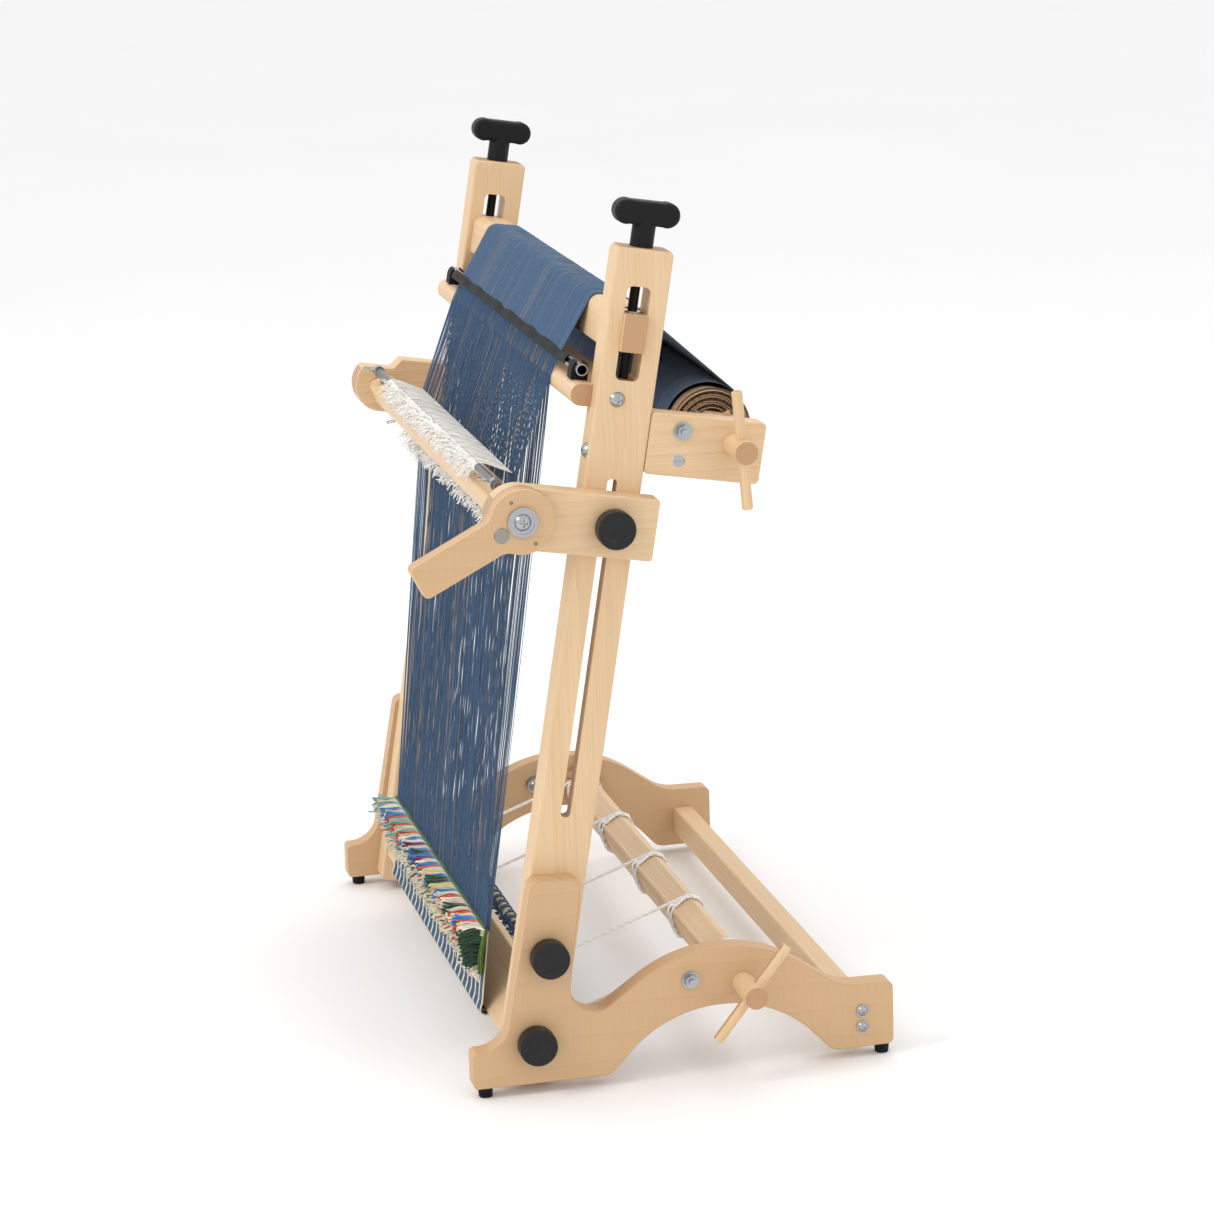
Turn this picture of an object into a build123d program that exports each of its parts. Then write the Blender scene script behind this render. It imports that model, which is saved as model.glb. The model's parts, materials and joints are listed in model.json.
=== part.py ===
from build123d import *
import os
from math import atan2, cos, degrees, hypot, radians, sin, sqrt, tan

# A tapestry loom on a folding stand, in millimetres.
# X runs from the weaver's left to right, Y from front to back, Z up.
# Everything that tilts is drawn upright in the mast's own frame, where the front
# of the two posts is y = 0 and their lower end is z = 0, and is then leaned back.

# --- base ---
HALF_WIDTH = 315.0        # middle to the outer face of a side plate
PLATE = 19.0              # plywood of the side plates
PLATE_IN = HALF_WIDTH - PLATE
FLOOR_GAP = 9.2           # underside of the side plates above the floor
FOOT_R = 6.5
FOOT_Y = (-133.9, 209.3)
STRETCHER_Y = 190.2
STRETCHER_Z = 34.4
STRETCHER_SIZE = (19.0, 25.4)
SCREW_PITCH = 14.2
CLOTH_Y, CLOTH_Z = 87.1, 77.9
PAWL_Y, PAWL_Z = 41.7, 85.2

# --- mast ---
TILT = 10.0               # the posts lean back this far from upright
TILT_MIN, TILT_MAX = 0.0, 18.0
PIVOT_Y, PIVOT_Z = -79.0, 119.7
POST_THICK = 27.0
POST_IN = PLATE_IN - POST_THICK
POST_DEPTH = 48.0
POST_LENGTH = 700.5
PIVOT_V, PIVOT_U = 19.5, 113.0
TILT_RADIUS = 75.2
SLOT_V = 23.0
SHED_SLOT = (226.6, 511.7)
SHED_SLOT_WIDTH = 8.3
NUT_GROOVE = (17.0, 13.5)   # width and depth of the inner groove behind the slot
BEAM_SLOT = (592.7, 669.6)
BEAM_SLOT_WIDTH = 19.7
SCREW_X = PLATE_IN - POST_THICK / 2
ROD_R = 4.0
STUD_R = 3.0
BOLT_R = 3.0
FIT = 0.07                # radial play of a turning fit

# --- rail and tube ---
RAIL_V = (-17.5, 30.0)
RAIL_U = (566.5, 584.5)
RAIL_HALF = 281.0
RAIL_BOLT_V, RAIL_BOLT_U = 17.6, 576.9
TUBE_V, TUBE_U, TUBE_R = -7.8, 593.7, 5.0
TUBE_HALF = 268.0

# --- warp-beam brackets ---
BRACKET_THICK = 20.0
BRACKET_V = 145.5
BRACKET_U = (518.5, 569.5)
BRACKET_BOLT_U = 531.8
BARREL_V = 76.0
WARP_V, WARP_U = 119.9, 549.9
WARP_PAWL_V, WARP_PAWL_U = 75.5, 556.5

# --- upper beam ---
BEAM_V = (5.5, 40.5)
BEAM_U = (615.0, 649.0)
TENON_U = (616.6, 647.0)
TENON_OUT = PLATE_IN + 6.0
TENON_WIDTH = 19.5
BEAM_TOP_R = 9.0

# --- winding beams ---
SQUARE = 28.0             # side of the two winding beams
CHAMFER = 5.5
BEAM_TURN = 22.0          # how the cloth beam's faces stand from level
SPINDLE_R = 9.5
HANDLE_R = 4.5
HANDLE_LENGTH = 98.0
HANDLE_INSET = 14.0       # handle dowel from the end of its spindle
CLOTH_SPINDLE_OUT = 43.0
WARP_SPINDLE_OUT = 40.0
RATCHET_TEETH = 12
RATCHET_TIP, RATCHET_ROOT = 24.0, 19.5
RATCHET_THICK = 4.5

# --- shedding gear ---
SHED_V, SHED_U = -55.5, 476.5
ARM_THICK = 22.0
ARM_HEIGHT = 51.4
ARM_END_R = 25.4
ARM_BACK_V = 59.6
DISC_THICK = 2.0
HANDLE_THICK = 12.7
HANDLE_DISC_R = 27.0
LEVER_ANGLE = 217.0
LEVER_LENGTH = 98.0
LEVER_WIDTH = 30.0
SHED_SQUARE = 24.0
SHED_OFFSET = (2.0, -3.5)  # the bar's middle from its turning axis, back and up
SHED_TURN = 32.2          # how the shed bar's faces stand from the mast's axes
JOURNAL_R = 9.5
HEDDLE_R = 3.3
HEDDLE_STAND = 24.2       # heddle rod from the bar's middle, square to its face

# --- yarn ---
WARP_HALF = 207.0
CARD_HALF = 228.0
YARN = 1.4
ROLL_R = 36.0
CORD_R = 1.6
CORD_X = (-272.0, -140.0, -8.0, 124.0, 256.0)
APRON_V, APRON_U, APRON_R = 65.3, 49.3, 4.8
APRON_HALF = 282.0        # half the length of the apron rod
FELL_U = 97.5
NOSE_V, NOSE_U = 2.0, 26.5
BOARD_WIDTH, BOARD_THICK, BOARD_ANGLE = 52.0, 15.0, 58.0

# The origin is the middle of the floor that the whole loom covers, handles included.
ORIGIN = Pos(-12.2, -17.7, 0)
MAST = Pos(0, PIVOT_Y, PIVOT_Z) * Rot(-TILT, 0, 0) * Pos(0, -PIVOT_V, -PIVOT_U)
BOTH = (1, -1)


def block(x0, x1, y0, y1, z0, z1):
    centre = Pos((x0 + x1) / 2, (y0 + y1) / 2, (z0 + z1) / 2)
    return centre * Box(x1 - x0, y1 - y0, z1 - z0)


def rod_x(radius, x0, x1, y=0.0, z=0.0):
    return Pos((x0 + x1) / 2, y, z) * Rot(0, 90, 0) * Cylinder(radius, x1 - x0)


def rod_y(radius, y0, y1, x, z):
    return Pos(x, (y0 + y1) / 2, z) * Rot(90, 0, 0) * Cylinder(radius, y1 - y0)


def rod_z(radius, z0, z1, x, y):
    return Pos(x, y, (z0 + z1) / 2) * Cylinder(radius, z1 - z0)


def slab(face, x0, x1):
    """A flat piece cut to an outline in Y and Z, between two planes of X."""
    return Pos(x0, 0, 0) * extrude(Plane.YZ * face, x1 - x0)


def outline(points, radii):
    return make_face(FilletPolyline(*points, radius=radii, close=True))


def mirrored(part):
    return mirror(part, about=Plane.YZ)


def sided(part, side):
    return part if side > 0 else mirrored(part)


def polar(radius, angle):
    return radius * cos(radians(angle)), radius * sin(radians(angle))


def yarn_strip(points, half, thick=YARN):
    """A thin sheet across the loom whose section follows points, thickened to one side."""
    normals = []
    for (y0, z0), (y1, z1) in zip(points, points[1:]):
        length = hypot(y1 - y0, z1 - z0)
        normals.append(((z0 - z1) / length, (y1 - y0) / length))
    outer = []
    for i, (y, z) in enumerate(points):
        a = normals[max(i - 1, 0)]
        b = normals[min(i, len(normals) - 1)]
        scale = thick / (1 + a[0] * b[0] + a[1] * b[1])
        outer.append((y + (a[0] + b[0]) * scale, z + (a[1] + b[1]) * scale))
    return slab(make_face(Polyline(*points, *reversed(outer), close=True)), -half, half)


# ---------------------------------------------------------------- base

def plate_outline():
    """Toe, ear behind the post, valley, hump over the cloth beam, heel and arch."""
    corners = [
        ((-145.0, FLOOR_GAP), 4), ((-145.0, 41.0), 4), ((-117.5, 41.0), 26),
        ((-90.5, 184.3), 8), ((-48.0, 182.5), 8), ((-66.5, 44.0), 21),
        ((69.9, 137.7), 122), ((171.5, 65.8), 40), ((217.5, 65.0), 6),
        ((217.5, FLOOR_GAP), 6), ((163.5, FLOOR_GAP), 14), ((69.4, 112.0), 110),
        ((-28.4, FLOOR_GAP), 15),
    ]
    return outline([c[0] for c in corners], [c[1] for c in corners])


def tilt_slot():
    """The arc in the side plate that the tilt knob's stud runs along."""
    rest = -90 - TILT_MAX
    sweep = TILT_MAX - TILT_MIN
    path = CenterArc((PIVOT_Y, PIVOT_Z), TILT_RADIUS, rest, sweep)
    slot = SlotArc(path, 2 * (STUD_R + 1))
    return slab(slot, PLATE_IN - 1, HALF_WIDTH + 1)


def side_plate():
    plate = slab(plate_outline(), PLATE_IN, HALF_WIDTH)
    plate = fillet(plate.faces().sort_by(Axis.X)[-1].edges(), 1.2)
    plate -= tilt_slot()
    plate -= rod_x(STUD_R + FIT, PLATE_IN - 1, HALF_WIDTH + 1, PIVOT_Y, PIVOT_Z)
    plate -= rod_x(SPINDLE_R + FIT, PLATE_IN - 1, HALF_WIDTH + 1, CLOTH_Y, CLOTH_Z)
    plate -= rod_x(BOLT_R, PLATE_IN - 1, HALF_WIDTH + 1, PAWL_Y, PAWL_Z)
    for z in screw_heights():
        plate -= rod_x(2.5, PLATE_IN - 1, HALF_WIDTH + 1, STRETCHER_Y, z)
    return plate


def screw_heights():
    return STRETCHER_Z - SCREW_PITCH / 2, STRETCHER_Z + SCREW_PITCH / 2


def rear_stretcher():
    width, height = STRETCHER_SIZE
    bar = Pos(0, STRETCHER_Y, STRETCHER_Z) * Box(2 * PLATE_IN, width, height)
    bar = fillet(bar.edges().filter_by(Axis.X), 2)
    for side in BOTH:
        for z in screw_heights():
            bar -= rod_x(2.5, side * PLATE_IN - 40, side * PLATE_IN + 40, STRETCHER_Y, z)
    return bar


def pan_head(radius, height):
    """A domed screw head standing on z = 0, with a cross recess."""
    ball = (radius ** 2 + height ** 2) / (2 * height)
    dome = Pos(0, 0, height - ball) * Sphere(ball)
    head = dome & Pos(0, 0, height / 2) * Cylinder(radius, height)
    recess = Box(radius * 0.9, radius * 0.22, height) + Box(radius * 0.22, radius * 0.9, height)
    return head - Pos(0, 0, height) * recess


def pan_screw(head_r, head_h, shank_r, length, washer_r=0.0):
    """A pan-head screw along +Z whose head rests on z = 0, washer included."""
    lift = 1.2 if washer_r else 0.0
    screw = Pos(0, 0, lift) * pan_head(head_r, head_h) + rod_z(shank_r, -length, lift + 0.5, 0, 0)
    if washer_r:
        screw += rod_z(washer_r, 0, lift, 0, 0)
    return screw


def stretcher_screws():
    screws = []
    for z in screw_heights():
        screw = Pos(HALF_WIDTH, STRETCHER_Y, z) * Rot(0, 90, 0) * pan_screw(4.4, 2.6, 2.45, 50, 5.4)
        screws += [screw, mirrored(screw)]
    return screws


def rubber_feet():
    x = HALF_WIDTH - PLATE / 2
    foot = Cone(FOOT_R - 0.8, FOOT_R, FLOOR_GAP)
    foot = fillet(foot.edges().sort_by(Axis.Z)[0], 0.8)
    return [Pos(s * x, y, FLOOR_GAP / 2) * foot for s in BOTH for y in FOOT_Y]


def hex_nut(across, height, hole):
    nut = extrude(RegularPolygon(across / 2, 6, major_radius=False), height)
    return nut - Cylinder(hole, 3 * height)


def pawl_bolt(x_in, x_out, pawl_face):
    """Bolt through a plate: head over the pawl inside, washer and nut outside."""
    bolt = rod_x(BOLT_R - 0.05, pawl_face - 0.2, x_out + 9)
    head = Pos(pawl_face - 0.2, 0, 0) * Rot(0, -90, 0) * pan_head(5.2, 3.2)
    washer = rod_x(7.6, x_out, x_out + 1.4)
    nut = Pos(x_out + 1.4, 0, 0) * Rot(0, 90, 0) * hex_nut(10, 5, 2)
    return bolt + head + washer + nut


# ---------------------------------------------------------------- winding beams

def winding_beam(half, turn, groove):
    section = chamfer(Rectangle(SQUARE, SQUARE).vertices(), CHAMFER)
    beam = slab(section, -half, half)
    for side in BOTH:
        beam -= rod_x(SPINDLE_R + 0.05, side * half - 42, side * half + 42)
    beam = Rot(turn, 0, 0) * beam
    if groove:
        y, z = polar(*CLOTH_ROD_AT)
        beam -= rod_x(CLOTH_ROD_R + 0.05, -half - 1, half + 1, y, z)
    return beam


CLOTH_ROD_R = 2.7
CLOTH_ROD_AT = (15.7, 150.0)
CLOTH_BEAM_HALF = PLATE_IN - 8.0
WARP_BEAM_HALF = PLATE_IN - BRACKET_THICK - 8.0


def spindle(half, wall_out, out):
    """Dowel let 40 mm into the beam's end, running out through its bearing."""
    return rod_x(SPINDLE_R, half - 40, wall_out + out)


def crank_hole(x, angle):
    return Pos(x, 0, 0) * Rot(angle - 90, 0, 0) * Cylinder(HANDLE_R + 0.05, 3 * SPINDLE_R)


def spindles(half, wall_out, out, angle):
    """The handle spindle on the right and a plain one on the left."""
    right = spindle(half, wall_out, out) - crank_hole(wall_out + out - HANDLE_INSET, angle)
    left = mirrored(spindle(half, wall_out, -1.0))
    return [right, left]


def handle_dowel(x, angle):
    dowel = Cylinder(HANDLE_R, HANDLE_LENGTH)
    dowel = chamfer(dowel.edges().filter_by(GeomType.CIRCLE), 0.8)
    return Pos(x, 0, 0) * Rot(angle - 90, 0, 0) * dowel


def ratchet_wheel():
    """Saw-toothed plywood wheel, bored for the spindle, lying on z = 0."""
    step = 360 / RATCHET_TEETH
    points = []
    for i in range(RATCHET_TEETH):
        points.append(polar(RATCHET_ROOT, i * step))
        points.append(polar(RATCHET_TIP, i * step + 3))
    wheel = extrude(make_face(Polyline(*points, close=True)), RATCHET_THICK)
    return wheel - Cylinder(SPINDLE_R + 0.05, 3 * RATCHET_THICK)


def ratchets(wall_in, phase):
    wheel = Pos(wall_in - 6.0, 0, 0) * Rot(phase, 0, 0) * Rot(90, 0, 0) * Rot(0, 90, 0) * ratchet_wheel()
    return [wheel, mirrored(wheel)]


def pawl(wall_in, reach, drop):
    """Steel strap with a bent nose and a spacer collar, pivoted at the origin."""
    face = outline([(-7, -6.5), (-7, 6.5), (reach, 6.5), (reach + 5, -drop), (reach, -1.5)],
                   [5, 5, 4, 0.6, 4])
    strap = slab(face, wall_in - 5.6, wall_in - 2.6)
    collar = rod_x(8, wall_in - 2.6, wall_in - 0.1)
    return strap + collar - rod_x(BOLT_R + 0.03, wall_in - 10, wall_in + 1)


def cord_loops():
    """Turns of cord lying round the cloth beam, one for each apron cord."""
    inner = chamfer(Rectangle(SQUARE + 0.4, SQUARE + 0.4).vertices(), CHAMFER)
    size = SQUARE + 0.4 + 4 * CORD_R
    outer = chamfer(Rectangle(size, size).vertices(), CHAMFER + 1.6)
    y, z = polar(CLOTH_ROD_AT[0], CLOTH_ROD_AT[1] - BEAM_TURN)
    ring = outer - inner - Pos(y, z) * Circle(CLOTH_ROD_R + 0.1)
    loop = Rot(BEAM_TURN, 0, 0) * slab(ring, -CORD_R, CORD_R)
    return [Pos(x - 2 * CORD_R, 0, 0) * loop for x in CORD_X[1:4]] + [
        Pos(CORD_X[0] + 2 * CORD_R, 0, 0) * loop, Pos(CORD_X[4] - 2 * CORD_R, 0, 0) * loop]


# ---------------------------------------------------------------- mast

def slot_x(width, u0, u1, corner):
    face = Pos(SLOT_V, (u0 + u1) / 2) * RectangleRounded(width, u1 - u0, corner)
    return slab(face, POST_IN - 1, PLATE_IN + 1)


def nut_groove():
    """Wide groove on the inside of the post that keeps the arm's nut from turning."""
    width, depth = NUT_GROOVE
    low, high = SHED_SLOT[0] - 6, SHED_SLOT[1] + 6
    face = Pos(SLOT_V, (low + high) / 2) * RectangleRounded(width, high - low, 3.0)
    return slab(face, POST_IN - 1, POST_IN + depth)


def post():
    bar = block(POST_IN, PLATE_IN, 0, POST_DEPTH, 0, POST_LENGTH)
    bar = fillet(bar.edges().filter_by(Axis.X), 5)
    bar = fillet(bar.faces().sort_by(Axis.X)[0].edges() + bar.faces().sort_by(Axis.X)[-1].edges(), 2.5)
    bar -= slot_x(BEAM_SLOT_WIDTH, *BEAM_SLOT, 5)
    bar -= slot_x(SHED_SLOT_WIDTH, *SHED_SLOT, 3.4)
    bar -= nut_groove()
    bar -= rod_z(ROD_R + FIT, BEAM_SLOT[1] - 5, POST_LENGTH + 1, SCREW_X, SLOT_V)
    bar -= rod_z(ROD_R + FIT, BEAM_SLOT[0] - 8.7, BEAM_SLOT[0] + 5, SCREW_X, SLOT_V)
    for u in (PIVOT_U, PIVOT_U - TILT_RADIUS):
        bar -= rod_x(STUD_R + FIT, PLATE_IN - 20, PLATE_IN + 1, PIVOT_V, u)
    bar -= rod_x(BOLT_R, POST_IN - 1, PLATE_IN + 1, RAIL_BOLT_V, RAIL_BOLT_U)
    bar -= rod_y(BOLT_R, -1, POST_DEPTH + 1, BRACKET_X, BRACKET_BOLT_U)
    return bar


BRACKET_X = PLATE_IN - BRACKET_THICK / 2


def bracket():
    """Block behind the post that carries one end of the warp beam."""
    body = block(PLATE_IN - BRACKET_THICK, PLATE_IN, POST_DEPTH, BRACKET_V, *BRACKET_U)
    body = fillet(body.edges().filter_by(Axis.X), 4)
    body = fillet(body.faces().sort_by(Axis.X)[-1].edges(), 1.5)
    body -= rod_x(SPINDLE_R + FIT, PLATE_IN - 30, PLATE_IN + 1, WARP_V, WARP_U)
    body -= rod_x(5.05, PLATE_IN - 30, PLATE_IN + 1, BARREL_V, BRACKET_BOLT_U)
    body -= rod_y(BOLT_R, POST_DEPTH - 1, BARREL_V + 8, BRACKET_X, BRACKET_BOLT_U)
    return body - rod_x(BOLT_R, PLATE_IN - 30, PLATE_IN + 1, WARP_PAWL_V, WARP_PAWL_U)


def pan_head_bolts():
    """Two bolts into the rail's ends and two through the posts into the brackets."""
    rail_bolt = Rot(0, 90, 0) * pan_screw(6.4, 4.0, BOLT_R - 0.05, 62)
    front_bolt = Rot(90, 0, 0) * pan_screw(6.4, 4.0, BOLT_R - 0.05, BARREL_V + 4)
    right = [Pos(PLATE_IN, RAIL_BOLT_V, RAIL_BOLT_U) * rail_bolt,
             Pos(BRACKET_X, 0, BRACKET_BOLT_U) * front_bolt]
    return right + [mirrored(b) for b in right]


def barrel_nuts():
    nut = rod_x(5.0, PLATE_IN - BRACKET_THICK + 1, PLATE_IN - 0.2, BARREL_V, BRACKET_BOLT_U)
    nut -= Pos(PLATE_IN, BARREL_V, BRACKET_BOLT_U) * Box(2.4, 12, 1.6)
    nut -= rod_y(BOLT_R, 0, BARREL_V + 20, BRACKET_X, BRACKET_BOLT_U)
    return [nut, mirrored(nut)]


def front_rail():
    """Board let in between the posts, with a round nose that passes in front of them."""
    (v0, v1), (u0, u1) = RAIL_V, RAIL_U
    front = block(-RAIL_HALF, RAIL_HALF, v0, 0, u0, u1)
    nose = [e for e in front.edges().filter_by(Axis.X) if e.center().Y < v0 + 1]
    front = fillet(nose, 8)
    rail = front + block(-POST_IN, POST_IN, 0, v1, u0, u1)
    rail = fillet([e for e in rail.edges().filter_by(Axis.X) if e.center().Y > v1 - 1], 2)
    for side in BOTH:
        rail -= rod_x(BOLT_R, side * POST_IN - 35, side * POST_IN + 35, RAIL_BOLT_V, RAIL_BOLT_U)
    return rail


def lease_tube():
    tube = rod_x(TUBE_R, -TUBE_HALF, TUBE_HALF, TUBE_V, TUBE_U)
    return tube - rod_x(TUBE_R - 1.0, -TUBE_HALF - 1, TUBE_HALF + 1, TUBE_V, TUBE_U)


def tube_clips():
    """Black saddles that hold the tube's two ends above the rail."""
    saddle = block(248, 262, TUBE_V - 7, TUBE_V + 7, RAIL_U[1], TUBE_U - 0.5)
    ears = rod_x(TUBE_R + 1.8, 248, 262, TUBE_V, TUBE_U)
    clip = saddle + ears - rod_x(TUBE_R + 0.02, 240, 270, TUBE_V, TUBE_U)
    clip -= block(240, 270, TUBE_V - 3.4, TUBE_V + 3.4, TUBE_U, TUBE_U + 12)
    return [clip, mirrored(clip)]


def warp_clamp():
    """Rubber strip that presses the warp against the front of the tube."""
    path = [(-11.9, 602.5), (-15.2, 594.6), (-17.4, 588.0)]
    return yarn_strip(path[::-1], 238, 1.8)


def breast_board():
    """Inclined board whose lower front edge the cloth turns round."""
    lean = Pos(0, NOSE_V, NOSE_U) * Rot(BOARD_ANGLE, 0, 0)
    board = block(-POST_IN, POST_IN, 0, BOARD_WIDTH, -BOARD_THICK, 0)
    return lean * fillet(board.edges().filter_by(Axis.X), 2)


def apron_rod():
    return rod_x(APRON_R, -APRON_HALF, APRON_HALF, APRON_V, APRON_U)


def mast_point(v, u):
    """A point of the mast's side view as (Y, Z) of the loom."""
    t = radians(TILT)
    y, z = v - PIVOT_V, u - PIVOT_U
    return PIVOT_Y + y * cos(t) + z * sin(t), PIVOT_Z - y * sin(t) + z * cos(t)


def apron_cords():
    """Straight runs of cord from the apron rod up to the cloth beam."""
    y0, z0 = mast_point(APRON_V, APRON_U)
    ridge_y, ridge_z = polar(16.4 + CORD_R + 0.4, 81)
    y1, z1 = CLOTH_Y + ridge_y, CLOTH_Z + ridge_z
    length = hypot(y1 - y0, z1 - z0)
    slope = degrees(atan2(z1 - z0, y1 - y0))
    start = APRON_R + 0.4
    run = Rot(slope - 90, 0, 0) * Pos(0, 0, (start + length) / 2) * Cylinder(CORD_R, length - start)
    return [Pos(x, y0, z0) * run for x in CORD_X]


# ---------------------------------------------------------------- yarn on the mast

def warp_back_layer():
    """Warp from the tube over the rail, down behind the shed, round the board, to its rod."""
    path = [(TUBE_V - TUBE_R - 0.1, TUBE_U), (-17.8, 581.5), (-17.9, 572.0), (-5.5, FELL_U),
            (-0.8, 27.0), (2.4, 21.6), (14.5, 14.0), (APRON_V - 3.0, APRON_U - 6.4)]
    return yarn_strip(path[::-1], WARP_HALF)


def warp_front_layer():
    """The half of the warp that the heddles hold forward."""
    path = [(-19.8, 566.0), (-35.0, 490.0), (-8.2, FELL_U + 3)]
    return yarn_strip(path[::-1], WARP_HALF)


def tapestry():
    """The woven band with its shaggy pile, which stands out further towards the top."""
    wedge = [(-7.6, FELL_U + 2), (-28.0, FELL_U + 2), (-31.5, FELL_U - 6)]
    wedge += [(-24.0, 72.0), (-12.0, 44.0), (-7.0, 50.0)]
    return slab(make_face(Polyline(*wedge, close=True)), -WARP_HALF - 5, WARP_HALF + 5)


def tangent_to_circle(point, centre, radius):
    """Where a straight line from point touches a circle, on its upper side."""
    dy, dz = centre[0] - point[0], centre[1] - point[1]
    distance = hypot(dy, dz)
    away = degrees(atan2(-dz, -dy)) - degrees(atan2(sqrt(distance ** 2 - radius ** 2), radius))
    y, z = polar(radius, away)
    return centre[0] + y, centre[1] + z


def warp_over_beam():
    """Warp from its roll up over the upper beam and down to the tube."""
    bend = BEAM_TOP_R + 0.5
    path = [(TUBE_V - TUBE_R + 0.4, TUBE_U + 2.8)]
    for v, first in ((BEAM_V[0] + BEAM_TOP_R, 165), (BEAM_V[1] - BEAM_TOP_R, 75)):
        for angle in (first, first - 30, first - 60):
            y, z = polar(bend / cos(radians(15)), angle)
            path.append((v + y, BEAM_U[1] - BEAM_TOP_R + z))
    path.append(tangent_to_circle(path[-1], (WARP_V, WARP_U), ROLL_R + 0.6))
    return yarn_strip(path, WARP_HALF)


def warp_roll():
    """Layers of corrugated card and warp wound on the warp beam."""
    roll = rod_x(ROLL_R - 1.5, -CARD_HALF, CARD_HALF) + rod_x(ROLL_R, -WARP_HALF, WARP_HALF)
    return roll - rod_x(17.0, -CARD_HALF - 1, CARD_HALF + 1)


# ---------------------------------------------------------------- upper beam and screws

def upper_beam():
    (v0, v1), (u0, u1) = BEAM_V, BEAM_U
    body = block(-POST_IN + 0.3, POST_IN - 0.3, v0, v1, u0, u1)
    edges = body.edges().filter_by(Axis.X)
    body = fillet([e for e in edges if e.center().Z > u1 - 1], BEAM_TOP_R)
    half = TENON_WIDTH / 2
    body += block(-TENON_OUT, TENON_OUT, SLOT_V - half, SLOT_V + half, *TENON_U)
    for side in BOTH:
        x = side * SCREW_X
        body -= rod_z(ROD_R + 0.4, TENON_U[0] - 1, TENON_U[1] + 1, x, SLOT_V)
        body -= rod_z(6.05, TENON_U[1] - 12, TENON_U[1] + 1, x, SLOT_V)
    return body


def beam_nuts():
    """Flanged threaded inserts that the two tension screws drive."""
    nut = rod_z(6.0, TENON_U[1] - 12, TENON_U[1], SCREW_X, SLOT_V)
    nut += rod_z(8.5, TENON_U[1], TENON_U[1] + 1.4, SCREW_X, SLOT_V)
    nut -= rod_z(ROD_R + 0.06, TENON_U[0], TENON_U[1] + 5, SCREW_X, SLOT_V)
    return [nut, mirrored(nut)]


def tension_screw():
    """Threaded rod with a two-lobed tee knob that bears on the post's top."""
    post_r, lobe_r, spread = 9.6, 10.3, 17.0
    screw = rod_z(ROD_R, BEAM_SLOT[0] - 7.7, POST_LENGTH + 8, 0, 0)
    stem = rod_z(post_r, POST_LENGTH + 0.2, POST_LENGTH + 26, 0, 0)
    lobe_u = POST_LENGTH + 27.5
    face = SlotCenterToCenter(2 * spread, 2 * lobe_r - 1)
    for side in BOTH:
        face += Pos(side * spread) * Circle(lobe_r)
    tee = slab(Pos(0, lobe_u) * face, -9.5, 9.5)
    tee = fillet(tee.faces().sort_by(Axis.X)[0].edges() + tee.faces().sort_by(Axis.X)[-1].edges(), 4)
    return Pos(SCREW_X, SLOT_V, 0) * (screw + stem + tee)


# ---------------------------------------------------------------- clamp knobs

def clamp_knob(x, v, u, stud_in):
    """Round knurled knob with its stud, bearing on the plane X = x."""
    cap = Cylinder(16.0, 12.5)
    notch = Cylinder(0.7, 14)
    cap -= [Rot(0, 0, 360 * i / 48) * Pos(16.1, 0, 0) * notch for i in range(48)]
    cap = Pos(0, 0, 9.25) * cap
    cap -= Pos(0, 0, 15.5 + 38.6) * Sphere(40)
    collar = rod_z(9.5, 0, 3, 0, 0)
    stud = rod_z(STUD_R, -stud_in, 4, 0, 0)
    return Pos(x, v, u) * Rot(0, 90, 0) * (cap + collar + stud)


# ---------------------------------------------------------------- shedding gear

def shed_arm(side):
    """Arm that slides on its post, with a round end for the shed bar."""
    low, high = SHED_U - ARM_HEIGHT / 2, SHED_U + ARM_HEIGHT / 2
    arm = block(PLATE_IN, PLATE_IN + ARM_THICK, SHED_V, ARM_BACK_V, low, high)
    arm = fillet([e for e in arm.edges().filter_by(Axis.X) if e.center().Y > 0], 3)
    arm += rod_x(ARM_HEIGHT / 2, PLATE_IN, PLATE_IN + ARM_THICK, SHED_V, SHED_U)
    arm = fillet(arm.faces().sort_by(Axis.X)[0].edges() + arm.faces().sort_by(Axis.X)[-1].edges(), 1.5)
    if side < 0:
        step = outline([(-120, high - 10), (SHED_V + 9, high - 10), (SHED_V + 17, high + 1), (-120, high + 1)],
                       [0.5, 6, 0.5, 0.5])
        arm -= slab(step, PLATE_IN - 1, PLATE_IN + ARM_THICK + 1)
    reach = ARM_THICK + 1 if side > 0 else ARM_THICK - 6
    arm -= rod_x(JOURNAL_R + FIT, PLATE_IN - 1, PLATE_IN + reach, SHED_V, SHED_U)
    arm -= rod_x(STUD_R + FIT, PLATE_IN - 1, PLATE_IN + ARM_THICK + 1, SLOT_V, SHED_U)
    return sided(arm, side)


def thrust_disc():
    x = PLATE_IN + ARM_THICK
    disc = rod_x(HANDLE_DISC_R, x, x + DISC_THICK, SHED_V, SHED_U)
    return disc - rod_x(JOURNAL_R + 0.4, x - 1, x + DISC_THICK + 1, SHED_V, SHED_U)


def arm_nuts():
    """Square nuts inside the posts that the arm knobs draw up."""
    depth = NUT_GROOVE[1]
    nut = block(POST_IN + 3, POST_IN + depth - 0.1, SLOT_V - 8, SLOT_V + 8, SHED_U - 7, SHED_U + 7)
    nut -= rod_x(STUD_R + 0.04, POST_IN - 1, POST_IN + 20, SLOT_V, SHED_U)
    return [nut, mirrored(nut)]


def heddle_place(side):
    """Middle of the upper (1) or lower (-1) heddle rod, from the bar's turning axis."""
    back, up = polar(side * HEDDLE_STAND, SHED_TURN + 90)
    return SHED_OFFSET[0] + back, SHED_OFFSET[1] + up


def shed_section(size):
    section = chamfer(Rectangle(size, size).vertices(), 4.5)
    return Pos(*SHED_OFFSET) * Rot(0, 0, SHED_TURN) * section


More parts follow.
